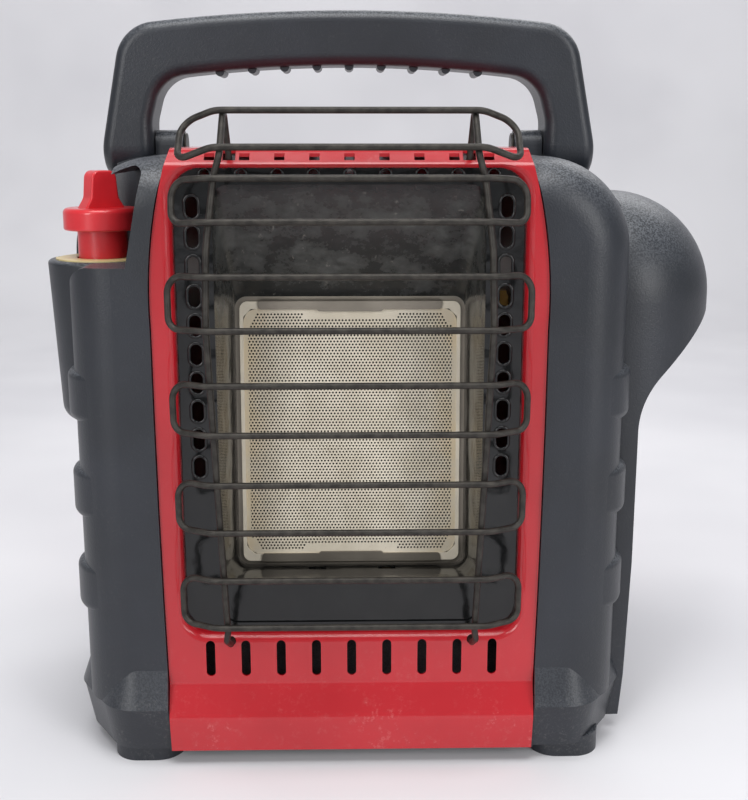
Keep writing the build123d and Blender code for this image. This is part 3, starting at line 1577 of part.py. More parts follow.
# ---- heat shields between the burner and the side panels ----
tube_bend_x = inlet_tail_x - tube_bend_long
tube_slope = (elbow_z - valve_port_z) / (tube_bend_x - knob_x)
crossing_z = elbow_z - tube_slope * (tube_bend_x + shield_x)
with BuildPart() as heat_shields:
    for side in (-1, 1):
        with BuildSketch(Plane.YZ.offset(side * shield_x)):
            with BuildLine():
                Polyline(
                    (pan_front_y, shield_low_z),
                    (pan_front_y, shield_top_z),
                    (deck_bend_y, shield_top_z),
                    (rear_y - sheet, shield_rear_z),
                    (rear_y - sheet, shield_low_z),
                    close=True,
                )
            make_face()
        extrude(amount=side * sheet)
    with BuildSketch(Plane.YZ):
        with Locations((bay_y, elbow_z)):
            Circle(elbow_r)
    extrude(amount=far, mode=Mode.SUBTRACT)
    with BuildSketch(Plane.YZ):
        with Locations((supply_y, crossing_z)):
            Circle(tube_r + 2 * fit_gap)
    extrude(amount=-far, mode=Mode.SUBTRACT)
heat_shields.part.label = "heat_shields"
export_step(heat_shields.part, "parts/heat_shields.step")
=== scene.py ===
import json
from math import cos, pi, radians, sin

import bmesh
import bpy
from mathutils import Matrix, Vector


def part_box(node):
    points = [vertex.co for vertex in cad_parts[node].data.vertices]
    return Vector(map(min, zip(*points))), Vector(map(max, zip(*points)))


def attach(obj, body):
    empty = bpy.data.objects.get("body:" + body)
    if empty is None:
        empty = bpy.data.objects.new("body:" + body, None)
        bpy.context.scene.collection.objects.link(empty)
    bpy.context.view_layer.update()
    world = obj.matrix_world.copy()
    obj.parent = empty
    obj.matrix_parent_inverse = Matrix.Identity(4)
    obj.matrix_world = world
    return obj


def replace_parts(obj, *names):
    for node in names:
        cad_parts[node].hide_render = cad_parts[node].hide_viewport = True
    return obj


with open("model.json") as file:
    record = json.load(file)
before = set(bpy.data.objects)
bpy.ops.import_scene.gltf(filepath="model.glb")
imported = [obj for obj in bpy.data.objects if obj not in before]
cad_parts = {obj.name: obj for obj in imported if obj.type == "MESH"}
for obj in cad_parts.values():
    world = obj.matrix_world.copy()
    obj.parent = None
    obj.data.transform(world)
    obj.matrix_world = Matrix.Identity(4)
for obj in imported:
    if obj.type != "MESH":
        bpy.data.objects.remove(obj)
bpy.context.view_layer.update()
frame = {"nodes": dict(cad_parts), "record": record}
nodes = frame["nodes"]

# ---- the burner tile's own frame: u across, v up the tile, w out of its face ----
TILE_HALF = 0.056
TILE_HIGH = 0.132
TILE_PROUD = 0.0015          # how far its face stands out of the frame's plane
TILE_THICK = 0.012
TILE_ROUND = 0.0068          # corners of the tile
TILE_ORIGIN = Vector((0.0, -0.029, 0.095))
TILE_LEAN = radians(4.0)
tile_up = Vector((0.0, sin(TILE_LEAN), cos(TILE_LEAN)))
tile_out = Vector((0.0, -cos(TILE_LEAN), sin(TILE_LEAN)))
tile_axes = Matrix(
    (
        (1.0, tile_up.x, tile_out.x, 0.0),
        (0.0, tile_up.y, tile_out.y, 0.0),
        (0.0, tile_up.z, tile_out.z, 0.0),
        (0.0, 0.0, 0.0, 1.0),
    )
)
tile_place = Matrix.Translation(TILE_ORIGIN) @ tile_axes


# ---- finishes ----
def paint(red, green, blue):
    """A colour chart value, 0 to 255, as the linear colour that a shader takes."""
    def linear(step):
        part = step / 255
        return part / 12.92 if part <= 0.04045 else ((part + 0.055) / 1.055) ** 2.4
    return (linear(red), linear(green), linear(blue), 1.0)


class Value:
    """A socket that takes part in shader maths."""

    def __init__(self, finish, socket):
        self.finish = finish
        self.socket = socket

    def maths(self, operation, other=0.0):
        return self.finish.node("ShaderNodeMath", {"operation": operation}, {0: self, 1: other})

    def __add__(self, other):
        return self.maths("ADD", other)

    def __sub__(self, other):
        return self.maths("SUBTRACT", other)

    def __rsub__(self, other):
        return (self * -1.0) + other

    def __mul__(self, other):
        return self.maths("MULTIPLY", other)

    __radd__ = __add__
    __rmul__ = __mul__

    def least(self, other):
        return self.maths("MINIMUM", other)

    def size(self):
        return self.maths("ABSOLUTE")

    def between(self, low, high):
        """0 at low, 1 at high, smooth between them."""
        settings = {"interpolation_type": "SMOOTHSTEP"}
        values = {"Value": self, "From Min": low, "From Max": high}
        return self.finish.node("ShaderNodeMapRange", settings, values)


class Finish:
    """A material with one Principled shader, built from expressions."""

    def __init__(self, name, colour, roughness, **constants):
        self.material = bpy.data.materials.new(name)
        self.material.use_nodes = True
        self.tree = self.material.node_tree
        self.shader = self.tree.nodes["Principled BSDF"]
        self.shader.inputs["Base Color"].default_value = colour
        self.shader.inputs["Roughness"].default_value = roughness
        for socket, value in constants.items():
            self.shader.inputs[socket.replace("_", " ")].default_value = value
        self.place = self.node("ShaderNodeTexCoord", {}, {}, "Object")

    def node(self, kind, settings, values, output=0):
        made = self.tree.nodes.new(kind)
        for name, setting in settings.items():
            setattr(made, name, setting)
        for name, value in values.items():
            if isinstance(value, Value):
                self.tree.links.new(value.socket, made.inputs[name])
            else:
                made.inputs[name].default_value = value
        return Value(self, made.outputs[output])

    def drive(self, **sockets):
        for name, value in sockets.items():
            self.tree.links.new(value.socket, self.shader.inputs[name.replace("_", " ")])

    def axes(self, place=None):
        split = self.node("ShaderNodeSeparateXYZ", {}, {0: place or self.place})
        return [Value(self, socket) for socket in split.socket.node.outputs]

    def facing(self):
        """The direction in which the surface faces, as x, y and z."""
        return self.axes(Value(self, self.place.socket.node.outputs["Normal"]))

    def stretched(self, scale):
        """The place, with each axis scaled, for patterns that run long along one of them."""
        return self.node("ShaderNodeMapping", {}, {"Vector": self.place, "Scale": scale})

    def noise(self, grain, detail=3.0, rough=0.55, place=None):
        """Clouds of about grain metres across."""
        size = {"Vector": place or self.place, "Scale": 1.0 / grain}
        return self.node("ShaderNodeTexNoise", {}, {**size, "Detail": detail, "Roughness": rough})

    def mix(self, share, low, high):
        made = self.tree.nodes.new("ShaderNodeMix")
        made.data_type = "RGBA"
        for name, value in (("Factor", share), ("A", low), ("B", high)):
            for socket in made.inputs:
                fits = socket.name == name and socket.enabled
                if fits and isinstance(value, Value):
                    self.tree.links.new(value.socket, socket)
                elif fits:
                    socket.default_value = value
        return Value(self, [s for s in made.outputs if s.enabled][0])

    def bump(self, height, depth, normal=None):
        """Relief of that depth in metres."""
        values = {"Height": height, "Strength": 1.0, "Distance": depth}
        if normal:
            values["Normal"] = normal
        return self.node("ShaderNodeBump", {}, values)


def gloss_red():
    """Stove enamel over steel: deep and glossy, a little rippled, dusty near the floor."""
    finish = Finish("red_enamel", paint(190, 28, 38), 0.2, Coat_Roughness=0.05, Coat_Weight=0.45)
    x, y, z = finish.axes()
    clouds = finish.noise(0.11, 3.0)
    dust = finish.noise(0.004, 7.0, 0.75)
    film = finish.noise(0.03, 4.0)
    low = 1 - z.between(0.02, 0.075)
    top = z.between(0.296, 0.304) * (1 - y.between(-0.07, -0.04))
    worn = (dust.between(0.5, 0.8) * film.between(0.35, 0.7) * (low * 0.22 + top * 0.1 + 0.04)).least(1.0)
    tone = finish.mix(clouds.between(0.3, 0.7), paint(168, 16, 27), paint(184, 26, 37))
    finish.drive(Base_Color=finish.mix(worn, tone, paint(220, 170, 164)))
    finish.drive(Roughness=(worn * 0.4 + 0.2 + film * 0.08))
    ripple = finish.bump(finish.noise(0.03, 2.0), 0.00045)
    finish.drive(Normal=finish.bump(finish.noise(0.0022, 2.0), 0.00002, ripple))
    return finish.material


def gloss_black():
    """Vitreous enamel: nearly black, wavy, with soot and scuffs high on the burner."""
    finish = Finish("black_enamel", paint(16, 17, 19), 0.1)
    x, y, z = finish.axes()
    soot = finish.noise(0.016, 7.0, 0.72)
    scuffs = finish.noise(0.0035, 5.0, 0.7, finish.stretched((1.0, 1.0, 0.2)))
    high = z.between(0.2, 0.25) * y.between(-0.071, -0.06)
    dusty = (soot.between(0.4, 0.75) * (high * 0.7 + 0.06) + high * 0.3).least(1.0)
    marks = scuffs.between(0.62, 0.7) * high * 0.7
    tone = finish.mix(dusty, paint(11, 12, 13), paint(84, 85, 83))
    finish.drive(Base_Color=finish.mix(marks, tone, paint(128, 124, 118)))
    finish.drive(Roughness=(dusty * 0.4 + 0.12))
    waves = finish.bump(finish.noise(0.02, 2.0), 0.0006)
    finish.drive(Normal=finish.bump(finish.noise(0.0026, 2.0), 0.00003, waves))
    return finish.material


def pebbled_charcoal():
    """Moulded plastic with a pebble grain: blue-black, with a pale haze on what faces up, partly dust and
    partly a painted sheen.
    """
    finish = Finish("charcoal_plastic", paint(42, 46, 53), 0.42, Coat_Weight=0.2, Coat_Roughness=0.4)
    x, y, z = finish.axes()
    pebble_wide, pebble_deep = 0.0009, 0.00013
    clouds = finish.noise(0.06, 3.0)
    dust = finish.noise(0.0016, 6.0, 0.75)
    film = finish.noise(0.02, 4.0)
    low = 1 - z.between(0.02, 0.06)
    dirt = (dust.between(0.5, 0.78) * film.between(0.35, 0.65) * (low * 0.35 + 0.1)).least(1.0)
    tone = finish.mix(clouds.between(0.3, 0.7), paint(22, 26, 33), paint(30, 34, 42))
    pebbles = finish.noise(pebble_wide, 2.0, 0.5)
    # Faces that point up get a pale grain in their colour: partly dust, partly a painted sheen of the light
    # from above.
    upward = finish.facing()[2].between(0.1, 0.95)
    dust_and_painted_sheen = upward * pebbles.between(0.35, 0.65) * (film * 0.5 + 0.25)
    tone_with_dust_and_sheen = finish.mix(dust_and_painted_sheen, tone, paint(128, 132, 138))
    finish.drive(Base_Color=finish.mix(dirt, tone_with_dust_and_sheen, paint(136, 134, 128)))
    finish.drive(Roughness=(film * 0.08 + dirt * 0.2 + 0.38))
    finish.drive(Normal=finish.bump(pebbles, pebble_deep))
    return finish.material


def plain(name, colour, roughness, mottle=0.08, grain=0.02, relief=0.00003, **constants):
    """A quiet finish whose tone and gloss wander a little."""
    finish = Finish(name, colour, roughness, **constants)
    clouds = finish.noise(grain, 4.0)
    dark = tuple(part * (1 - mottle) for part in colour[:3]) + (1.0,)
    pale = tuple(min(part * (1 + mottle), 1.0) for part in colour[:3]) + (1.0,)
    finish.drive(Base_Color=finish.mix(clouds.between(0.3, 0.7), dark, pale))
    finish.drive(Roughness=(clouds * 0.16 + (roughness - 0.08)))
    finish.drive(Normal=finish.bump(finish.noise(grain * 0.08, 3.0), relief))
    return finish.material


def tile_ceramic():
    """Cream ceramic, browned towards its sides, with painted shade inside the holes."""
    finish = Finish("tile_ceramic", paint(176, 164, 146), 0.9)
    x, y, z = finish.axes()
    clouds = finish.noise(0.02, 4.0)
    side = x.size().between(0.036, 0.056)
    specks = finish.noise(0.0009, 3.0)
    bare = finish.mix(clouds.between(0.35, 0.7), paint(216, 206, 186), paint(232, 223, 205))
    toned = finish.mix((side * clouds.between(0.3, 0.6) * 0.5), bare, paint(208, 182, 132))
    speckled = finish.mix(specks.between(0.6, 0.75) * 0.3, toned, paint(178, 160, 132))
    out = (y - TILE_ORIGIN.y) * tile_out.y + (z - TILE_ORIGIN.z) * tile_out.z
    # Everything below the face, such as the holes' walls and floors, is painted dark: a painted shade for the
    # depth of the holes.
    painted_hole_shade = 1 - out.between(TILE_PROUD - 0.0006, TILE_PROUD - 0.0001)
    finish.drive(Base_Color=finish.mix(painted_hole_shade, speckled, paint(30, 24, 20)))
    finish.drive(Normal=finish.bump(specks, 0.00008))
    return finish.material


finishes = {
    "red_steel": gloss_red(),
    "black_enamel": gloss_black(),
    "charcoal_plastic": pebbled_charcoal(),
    "red_plastic": plain("red_plastic", paint(208, 40, 48), 0.3, 0.08, 0.02, 0.00004, Coat_Weight=0.3),
    "black_plastic": plain("black_plastic", paint(34, 34, 36), 0.45),
    "ceramic": plain("ceramic", paint(196, 184, 160), 0.85),
    "frame_ceramic": plain("frame_ceramic", paint(232, 222, 202), 0.8),
    "plated_steel": plain("plated_steel", paint(158, 150, 138), 0.42, Metallic=0.9),
    "guard_wire": plain("guard_wire", paint(52, 49, 45), 0.4, 0.4, 0.004, 0.00012, Metallic=0.5),
    "brass": plain("brass", paint(198, 160, 92), 0.35, Metallic=1.0),
    "zinc": plain("zinc", paint(168, 170, 174), 0.45, Metallic=1.0),
    "aluminium": plain("aluminium", paint(196, 197, 200), 0.35, Metallic=1.0),
    "dial_print": plain("dial_print", paint(208, 192, 138), 0.35),
    "rubber": plain("rubber", paint(30, 30, 30), 0.7),
}
for part in frame["record"]["subparts"]:
    slots = nodes[part["node"]].data.materials
    slots.clear()
    slots.append(finishes[part["material_slot"]])


# ---- patterns: Geometry Nodes trees turned into plain meshes ----
class Pattern:
    """A Geometry Nodes tree with named inputs."""

    kinds = {
        float: "NodeSocketFloat",
        int: "NodeSocketInt",
        bpy.types.Object: "NodeSocketObject",
        bpy.types.Material: "NodeSocketMaterial",
    }

    def __init__(self, name, **inputs):
        self.name = name
        self.values = inputs
        self.tree = bpy.data.node_groups.new(name, "GeometryNodeTree")
        self.tree.interface.new_socket("Geometry", in_out="OUTPUT", socket_type="NodeSocketGeometry")
        for label, value in inputs.items():
            kind = self.kinds[type(value)]
            self.tree.interface.new_socket(label, in_out="INPUT", socket_type=kind)
        self.inlet = self.tree.nodes.new("NodeGroupInput")

    def given(self, label):
        return self.inlet.outputs[label]

    def node(self, kind, settings=None, values=None, output=0):
        made = self.tree.nodes.new(kind)
        for name, setting in (settings or {}).items():
            setattr(made, name, setting)
        for name, value in (values or {}).items():
            if isinstance(value, bpy.types.NodeSocket):
                self.tree.links.new(value, made.inputs[name])
            else:
                made.inputs[name].default_value = value
        return made.outputs[output]

    def maths(self, operation, first, second=0.0):
        return self.node("ShaderNodeMath", {"operation": operation}, {0: first, 1: second})

    def vector(self, x=0.0, y=0.0, z=0.0):
        return self.node("ShaderNodeCombineXYZ", None, {"X": x, "Y": y, "Z": z})

    def less(self, first, second):
        return self.maths("SUBTRACT", first, second)

    def grid(self, across, along, gap_across, gap_along):
        """Points in rows and columns about the middle, from the names of four inputs."""
        sizes = {"Vertices X": self.given(across), "Vertices Y": self.given(along)}
        for side, count, gap in (("Size X", across, gap_across), ("Size Y", along, gap_along)):
            sizes[side] = self.maths("MULTIPLY", self.less(self.given(count), 1.0), self.given(gap))
        return self.node("GeometryNodeMeshGrid", None, sizes)

    def shown(self, label):
        """The shape of an object that is an input."""
        return self.node("GeometryNodeObjectInfo", None, {"Object": self.given(label)}, "Geometry")

    def joined(self, *parts):
        made = self.tree.nodes.new("GeometryNodeJoinGeometry")
        for part in parts:
            self.tree.links.new(part, made.inputs[0])
        return made.outputs[0]

    def piece(self, geometry, material, place=None):
        """Ends the tree, and returns an object that holds its mesh, set at place."""
        real = self.node("GeometryNodeRealizeInstances", None, {"Geometry": geometry})
        dressed = self.node("GeometryNodeSetMaterial", None, {"Geometry": real, "Material": material})
        outlet = self.tree.nodes.new("NodeGroupOutput")
        self.tree.links.new(dressed, outlet.inputs[0])
        carrier = bpy.data.objects.new(self.name, bpy.data.meshes.new(self.name))
        bpy.context.scene.collection.objects.link(carrier)
        grown = carrier.modifiers.new("pattern", "NODES")
        grown.node_group = self.tree
        for socket in self.tree.interface.items_tree:
            if socket.in_out == "INPUT":
                grown[socket.identifier] = self.values[socket.name]
        carrier.update_tag()
        bpy.context.view_layer.update()
        seen = carrier.evaluated_get(bpy.context.evaluated_depsgraph_get())
        mesh = bpy.data.meshes.new_from_object(seen)
        carrier.modifiers.remove(grown)
        carrier.data = mesh
        if place:
            mesh.transform(place)
        return carrier


def new_object(name, content):
    """A new object in the scene."""
    made = bpy.data.objects.new(name, content)
    bpy.context.scene.collection.objects.link(made)
    return made


def made_mesh(name, shape):
    mesh = bpy.data.meshes.new(name)
    shape.to_mesh(mesh)
    shape.free()
    return mesh


def ring_points(count, radius):
    """Points of a regular polygon with flat sides towards the axes."""
    turns = [(step + 0.5) * 2 * pi / count for step in range(count)]
    return [(radius * cos(turn), radius * sin(turn)) for turn in turns]


def band(shape, first, second):
    """Faces between two closed rows of as many points."""
    for step in range(len(first)):
        after = (step + 1) % len(first)
        shape.faces.new((first[step], first[after], second[after], second[step]))


# ---- perforated burner tile ----
HOLE_PITCH = 0.00178
ROW_PITCH = 0.0016
HOLE_R = 0.00056
HOLE_DEEP = 0.0022
HOLE_SIDES = 8
TRAY_RIM = 0.0022            # width of the strip that runs round the pierced face
TRAY_SINK = 0.00003          # that strip's inner edge lies this much under the face
QUARTERS = ((1, 1), (-1, 1), (-1, -1), (1, -1))


def cell_corners(cell):
    return [cell.verts.new((x * HOLE_PITCH / 2, y * ROW_PITCH / 2, 0.0)) for x, y in QUARTERS]


def pierced_cell():
    """One cell of the tile's face: a rectangle with an eight-sided blind hole."""
    cell = bmesh.new()
    points = ring_points(HOLE_SIDES, HOLE_R)
    rim = [cell.verts.new((x, y, 0.0)) for x, y in points]
    foot = [cell.verts.new((x * 0.9, y * 0.9, -HOLE_DEEP)) for x, y in points]
    corners = cell_corners(cell)
    band(cell, rim, foot)
    for step in range(HOLE_SIDES):
        after = (step + 1) % HOLE_SIDES
        quarter = ((step + 1) // 2) % 4
        if step % 2:
            cell.faces.new((rim[step], corners[quarter - 1], corners[quarter], rim[after]))
        else:
            cell.faces.new((rim[step], corners[quarter], rim[after]))
    cell.faces.new(foot)
    return made_mesh("pierced_cell", cell)


def plain_cell():
    cell = bmesh.new()
    cell.faces.new(cell_corners(cell))
    return made_mesh("plain_cell", cell)


def tile_outline(inset):
    """Corners of the tile's rounded outline, moved in by that much."""
    half_high = TILE_HIGH / 2
    radius = TILE_ROUND - inset
    points = []
    for quarter, (side, end) in enumerate(QUARTERS):
        middle_x = side * (TILE_HALF - TILE_ROUND)
        middle_y = half_high + end * (half_high - TILE_ROUND)
        for step in range(7):
            turn = (quarter + step / 6) * pi / 2
            points.append((middle_x + radius * cos(turn), middle_y + radius * sin(turn)))
    return points


def tile_tray():
    """Edge strip, sides and back of the tile, round its pierced face."""
    tray = bmesh.new()
    levels = ((TRAY_RIM, TILE_PROUD - TRAY_SINK), (0.0, TILE_PROUD), (0.0, TILE_PROUD - TILE_THICK))
    rows = [[tray.verts.new((x, y, w)) for x, y in tile_outline(inset)] for inset, w in levels]
    for inner, outer in zip(rows, rows[1:]):
        band(tray, outer, inner)
    tray.faces.new(reversed(rows[-1]))
    return made_mesh("tile_tray", tray)


def burner_tile():
    """The tile: cells with a hole, plain cells at its edges and clips, and its tray."""
    cell = new_object("pierced_cell", pierced_cell())
    blank = new_object("plain_cell", plain_cell())
    tray = new_object("tile_tray", tile_tray())
    face = Pattern(
        "burner_tile_face",
        columns=63,
        rows=82,
        pitch=HOLE_PITCH,
        row_pitch=ROW_PITCH,
        half_wide=TILE_HALF,
        high=TILE_HIGH,
        proud=TILE_PROUD,
        side_margin=0.0008,
        end_margin=0.0019,
        corner=0.0069,
        corner_slope=0.66,
        rounding=TILE_ROUND,
        cell_room=0.0009,
        clip_half=0.0251,
        clip_blank=0.0033,
        pierced=cell,
        blank=blank,
        tray=tray,
        finish=tile_ceramic(),
    )
    grid = face.grid("columns", "rows", "pitch", "row_pitch")
    row = face.maths("MODULO", face.node("GeometryNodeInputIndex"), face.given("rows"))
    odd = face.less(face.maths("MODULO", row, 2.0), 0.5)
    sideways = face.maths("MULTIPLY", odd, face.maths("MULTIPLY", face.given("pitch"), 0.5))
    upwards = face.maths("MULTIPLY", face.given("high"), 0.5)
    shift = face.vector(sideways, upwards, face.given("proud"))
    laid = face.node("GeometryNodeSetPosition", None, {"Geometry": grid, "Offset": shift})
    place = face.node("ShaderNodeSeparateXYZ", None, {0: face.node("GeometryNodeInputPosition")}).node
    out = face.maths("ABSOLUTE", place.outputs["X"])
    from_middle = face.maths("ABSOLUTE", face.less(place.outputs["Y"], upwards))
    side_room = face.less(face.given("half_wide"), out)
    end_room = face.less(upwards, from_middle)
    edge_x = face.less(side_room, face.given("side_margin"))
    edge_y = face.less(end_room, face.given("end_margin"))
    slant = face.maths("ADD", edge_x, face.maths("MULTIPLY", edge_y, face.given("corner_slope")))
    corner = face.less(slant, face.given("corner"))
    beside_clip = face.less(out, face.given("clip_half"))
    under_clip = face.less(edge_y, face.given("clip_blank"))
    free = face.maths("MAXIMUM", beside_clip, under_clip)
    inside = face.maths("MINIMUM", face.maths("MINIMUM", edge_x, edge_y), face.maths("MINIMUM", corner, free))
    past_x = face.maths("MAXIMUM", face.less(face.given("rounding"), side_room), 0.0)
    past_y = face.maths("MAXIMUM", face.less(face.given("rounding"), end_room), 0.0)
    past = face.vector(past_x, past_y, 0.0)
    reach = face.node("ShaderNodeVectorMath", {"operation": "LENGTH"}, {0: past}, "Value")
    room = face.less(face.less(face.given("rounding"), reach), face.given("cell_room"))
    open_here = face.node("FunctionNodeCompare", {"operation": "GREATER_THAN"}, {0: inside, 1: 0.0})
    on_tile = face.node("FunctionNodeCompare", {"operation": "GREATER_THAN"}, {0: room, 1: 0.0})
    shut = face.node("FunctionNodeBooleanMath", {"operation": "NOT"}, {0: open_here})
    shut_here = face.node("FunctionNodeBooleanMath", {"operation": "AND"}, {0: shut, 1: on_tile})
    layers = []
    for shape, chosen in (("pierced", open_here), ("blank", shut_here)):
        spots = {"Points": laid, "Selection": chosen, "Instance": face.shown(shape)}
        layers.append(face.node("GeometryNodeInstanceOnPoints", None, spots))
    layers.append(face.shown("tray"))
    tile = face.piece(face.joined(*layers), face.given("finish"), tile_place)
    tile.name = "pierced_tile"
    for helper in (cell, blank, tray):
        bpy.data.objects.remove(helper)
    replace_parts(tile, "ceramic_tile")
    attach(tile, "housing")


# ---- folded clips of the tile ----
CLIP_HALF = 0.0484           # half width at its widest, just under the crest
CLIP_END_HALF = 0.0478       # the same at the crest and over the foot
CLIP_LIP_HALF = 0.0474
CLIP_FOOT_HALF = 0.047
CLIP_TAB_HALF = 0.0174
CLIP_TAB_SLOPE = 0.001
CLIP_CREST = 0.0042          # from the tile's end out to the crest
CLIP_FOOT = 0.0002           # from the tile's end in to the foot
CLIP_TAB = 0.0012            # from the tile's end in to the tab
CLIP_FACE = 0.0018           # from the tile's face out to the clip's
CLIP_BACK = 0.00065
CLIP_LIP_FOOT = 0.0004       # depth to which the lip folds back


def tile_clip(name, end):
    """Folded strip that holds the gasket and the tile at one end, with a tab in its middle."""
    half_high = TILE_HIGH / 2
    crest, foot, tab = half_high + CLIP_CREST, half_high - CLIP_FOOT, half_high - CLIP_TAB
    right = [
        (CLIP_TAB_HALF - CLIP_TAB_SLOPE, tab), (CLIP_TAB_HALF, foot), (CLIP_FOOT_HALF, foot),
        (CLIP_END_HALF, foot + 0.0008), (CLIP_HALF, crest - 0.0007), (CLIP_END_HALF, crest),
    ]
    outline = [(-u, v) for u, v in reversed(right)] + right
    face_w, back_w = TILE_PROUD + CLIP_FACE, TILE_PROUD + CLIP_BACK
    strip = bmesh.new()
    front = [strip.verts.new((u, half_high + end * v, face_w)) for u, v in outline]
    back = [strip.verts.new((u, half_high + end * v, back_w)) for u, v in outline]
    strip.faces.new(front)
    strip.faces.new(reversed(back))
    band(strip, back, front)
    lip_top = crest + 0.0008
    section = ((crest, face_w), (lip_top, face_w - 0.0006), (lip_top, CLIP_LIP_FOOT), (crest, CLIP_LIP_FOOT))
    lips = []
    for u in (-CLIP_LIP_HALF, CLIP_LIP_HALF):
        lips.append([strip.verts.new((u, half_high + end * v, w)) for v, w in section])
    band(strip, *lips)
    strip.faces.new(lips[0])
    strip.faces.new(reversed(lips[1]))
    bmesh.ops.recalc_face_normals(strip, faces=strip.faces)
    edges = [edge for edge in strip.edges if edge.calc_face_angle(0.0) > 0.6]
    bmesh.ops.bevel(strip, geom=edges, offset=0.0002, segments=2, affect="EDGES")
    mesh = made_mesh(name, strip)
    mesh.transform(tile_place)
    mesh.materials.append(finishes["plated_steel"])
    clip = new_object(name, mesh)
    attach(clip, "housing")
    return clip


# ---- screws of the rear panel ----
HEAD_SIDES = 16
HEAD_PROFILE = ((0.0037, 0.0), (0.0037, 0.0006), (0.0031, 0.0016), (0.0022, 0.0021))  # radius, height
RECESS_ARM = 0.0017          # reach of the cross recess along its arms
RECESS_NOTCH = 0.00045       # and between them
RECESS_FOOT = 0.0009         # height of its floor
RECESS_TAPER = 0.8
SCREW_MIDDLE_Z = 0.142


def screw_head():
    """Low domed head with a cross recess, facing up."""
    head = bmesh.new()
    levels = []
    for radius, height in HEAD_PROFILE:
        levels.append([head.verts.new((x, y, height)) for x, y in ring_points(HEAD_SIDES, radius)])
    arms = []
    for step, (x, y) in enumerate(ring_points(HEAD_SIDES, 1.0)):
        reach = RECESS_ARM if step % 4 in (0, 3) else RECESS_NOTCH
        arms.append((reach * x, reach * y))
    top = HEAD_PROFILE[-1][1]
    levels.append([head.verts.new((x, y, top)) for x, y in arms])
    levels.append([head.verts.new((x * RECESS_TAPER, y * RECESS_TAPER, RECESS_FOOT)) for x, y in arms])
    for lower, upper in zip(levels, levels[1:]):
        band(head, lower, upper)
    head.faces.new(levels[-1])
    head.faces.new(reversed(levels[0]))
    return made_mesh("screw_head", head)


def rear_screws():
    """Two rows of three screws, each turned a little differently."""
    head = new_object("screw_head", screw_head())
    screws = Pattern(
        "rear_screws",
        across=2,
        along=3,
        gap_across=0.166,
        gap_along=0.118,
        turn=0.85,
        head=head,
        finish=finishes["zinc"],
    )
    spots = screws.grid("across", "along", "gap_across", "gap_along")
    turns = screws.maths("MULTIPLY", screws.node("GeometryNodeInputIndex"), screws.given("turn"))
    placed = {"Points": spots, "Instance": screws.shown("head"), "Rotation": screws.vector(0.0, 0.0, turns)}
    heads = screws.node("GeometryNodeInstanceOnPoints", None, placed)
    rear_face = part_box("rear_panel")[1].y
    place = Matrix.Translation((0.0, rear_face, SCREW_MIDDLE_Z)) @ Matrix.Rotation(-pi / 2, 4, "X")
    made = screws.piece(heads, screws.given("finish"), place)
    bpy.data.objects.remove(head)
    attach(made, "housing")


# ---- rims pressed up round the holes of the reflector's surround ----
SIDE_HOLES = 10
SIDE_HOLE_TOP_Z = 0.2825
SIDE_HOLE_GAP = 0.0142
TOP_HOLE_Z = 0.298


def hole_rims(name, middle_z, **sizes):
    """Rims round a grid of oblong or round holes in the upright sheet of the surround."""
    rims = Pattern(name, finish=finishes["black_enamel"], **sizes)
    wide = rims.given("wide")
    box = {"Width": wide, "Height": rims.given("high")}
    outline = rims.node("GeometryNodeCurvePrimitiveQuadrilateral", None, box)
    rounding = rims.maths("MULTIPLY", wide, 0.4999)
    bends = {"Curve": outline, "Count": 8, "Radius": rounding, "Limit Radius": True}
    slot = rims.node("GeometryNodeFilletCurve", {"mode": "POLY"}, bends)
    round_wire = {"Resolution": 10, "Radius": rims.given("wire")}
    section = rims.node("GeometryNodeCurvePrimitiveCircle", None, round_wire)
    bead = rims.node("GeometryNodeCurveToMesh", None, {"Curve": slot, "Profile Curve": section})
    smooth = rims.node("GeometryNodeSetShadeSmooth", None, {"Geometry": bead})
    spots = rims.grid("across", "along", "gap_across", "gap_along")
    repeated = rims.node("GeometryNodeInstanceOnPoints", None, {"Points": spots, "Instance": smooth})
    sheet_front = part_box("reflector_surround")[0].y
    place = Matrix.Translation((0.0, sheet_front, middle_z)) @ Matrix.Rotation(pi / 2, 4, "X")
    made = rims.piece(repeated, rims.given("finish"), place)
    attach(made, "housing")


rear_screws()
burner_tile()
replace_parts(tile_clip("top_clip_strip", 1), "top_tile_clip")
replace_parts(tile_clip("bottom_clip_strip", -1), "bottom_tile_clip")
hole_rims(
    "side_hole_rims",
    SIDE_HOLE_TOP_Z - (SIDE_HOLES - 1) / 2 * SIDE_HOLE_GAP,
    wide=0.0068,
    high=0.0113,
    across=2,
    along=SIDE_HOLES,
    gap_across=0.15,
    gap_along=SIDE_HOLE_GAP,
    wire=0.0008,
)
hole_rims(
    "top_hole_rims",
    TOP_HOLE_Z,
    wide=0.0054,
    high=0.0054,
    across=9,
    along=1,
    gap_across=0.0171,
    gap_along=0.01,
    wire=0.0006,
)


# ---- stage, light and camera ----
FLOOR_FRONT_Y = -3.0
FLOOR_HALF = 4.0
SWEEP_Y = 1.2                # where the floor starts to curve up
SWEEP_R = 0.6
SWEEP_STEPS = 12
WALL_TOP = 3.0


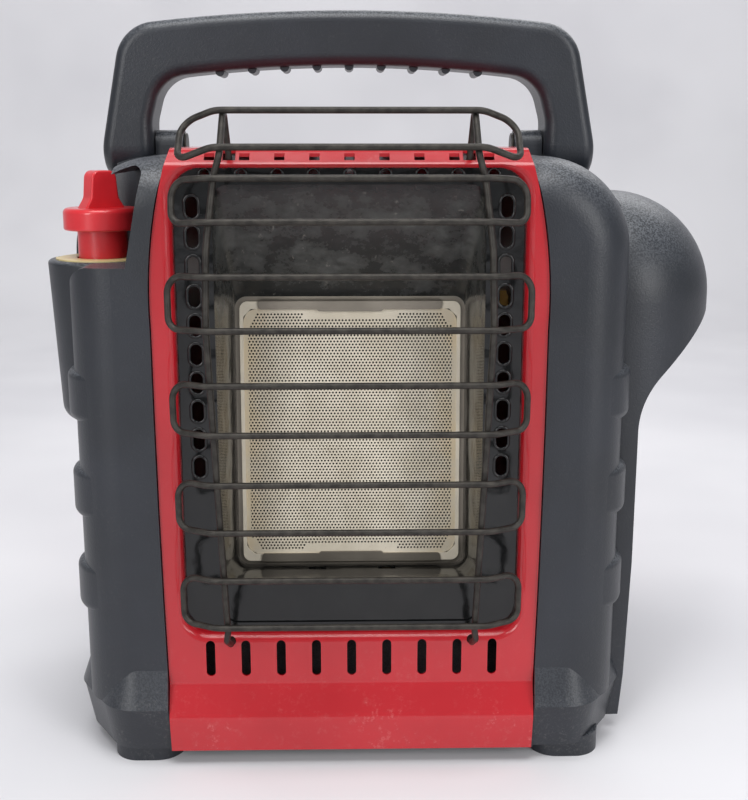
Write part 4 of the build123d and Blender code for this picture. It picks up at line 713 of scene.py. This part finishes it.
def backdrop():
    """A pale floor that curves up far behind the heater."""
    bow = bmesh.new()
    profile = [(FLOOR_FRONT_Y, 0.0), (SWEEP_Y, 0.0)]
    for step in range(1, SWEEP_STEPS + 1):
        turn = step / SWEEP_STEPS * pi / 2
        profile.append((SWEEP_Y + SWEEP_R * sin(turn), SWEEP_R - SWEEP_R * cos(turn)))
    profile.append((SWEEP_Y + SWEEP_R, WALL_TOP))
    rows = [[bow.verts.new((side, y, z)) for side in (-FLOOR_HALF, FLOOR_HALF)] for y, z in profile]
    for near, far in zip(rows, rows[1:]):
        bow.faces.new((near[0], near[1], far[1], far[0])).smooth = True
    mesh = made_mesh("backdrop", bow)
    sheet = new_object("backdrop", mesh)
    finish = Finish("pale_cloth", paint(226, 225, 228), 0.9)
    folds = finish.noise(0.5, 3.0)
    finish.drive(Base_Color=finish.mix(folds.between(0.3, 0.7), paint(216, 215, 219), paint(232, 231, 234)))
    mesh.materials.append(finish.material)


# name, place, point that it faces, width and height, watts
LAMPS = (
    ("overhead", (-0.05, -0.45, 1.5), (0, 0, 0.2), (1.1, 0.8), 14.5),
    ("rear_window", (0.35, 0.85, 1.15), (0.05, 0, 0.25), (1.3, 0.7), 6.0),
    ("left_window", (-1.8, -2.8, 1.25), (0, 0, 0.2), (0.9, 2.0), 38.0),
    ("right_window", (2.0, -2.3, 1.1), (0, 0, 0.2), (0.9, 2.0), 33.0),
)
ROOM_COLOUR = (0.9, 0.92, 0.95, 1.0)
ROOM_STRENGTH = 0.38
CAMERA_PLACE = (0.0, -0.640, 0.316)
CAMERA_TILT = 12.6           # degrees down
CAMERA_TURN = 1.16           # degrees to the right
CAMERA_FOCUS = 1187.0 / 800.0  # focal length over the picture's height
FILM = 36.0                  # height of the film, in millimetres


def soft_lamp(name, place, aim, size, power):
    light = bpy.data.lights.new(name, "AREA")
    light.shape = "RECTANGLE"
    light.size, light.size_y = size
    light.energy = power
    lamp = new_object(name, light)
    lamp.location = place
    lamp.rotation_euler = (Vector(aim) - Vector(place)).to_track_quat("-Z", "Y").to_euler()


backdrop()
for lamp in LAMPS:
    soft_lamp(*lamp)
world = bpy.data.worlds.new("room")
world.use_nodes = True
room = world.node_tree.nodes["Background"].inputs
room["Color"].default_value = ROOM_COLOUR
room["Strength"].default_value = ROOM_STRENGTH
bpy.context.scene.world = world
bpy.context.scene.view_settings.view_transform = "Standard"

camera = bpy.data.cameras.new("camera")
camera.lens = CAMERA_FOCUS * FILM
viewpoint = new_object("camera", camera)
viewpoint.location = CAMERA_PLACE
viewpoint.rotation_euler = (radians(90.0 - CAMERA_TILT), 0.0, radians(-CAMERA_TURN))
bpy.context.scene.camera = viewpoint
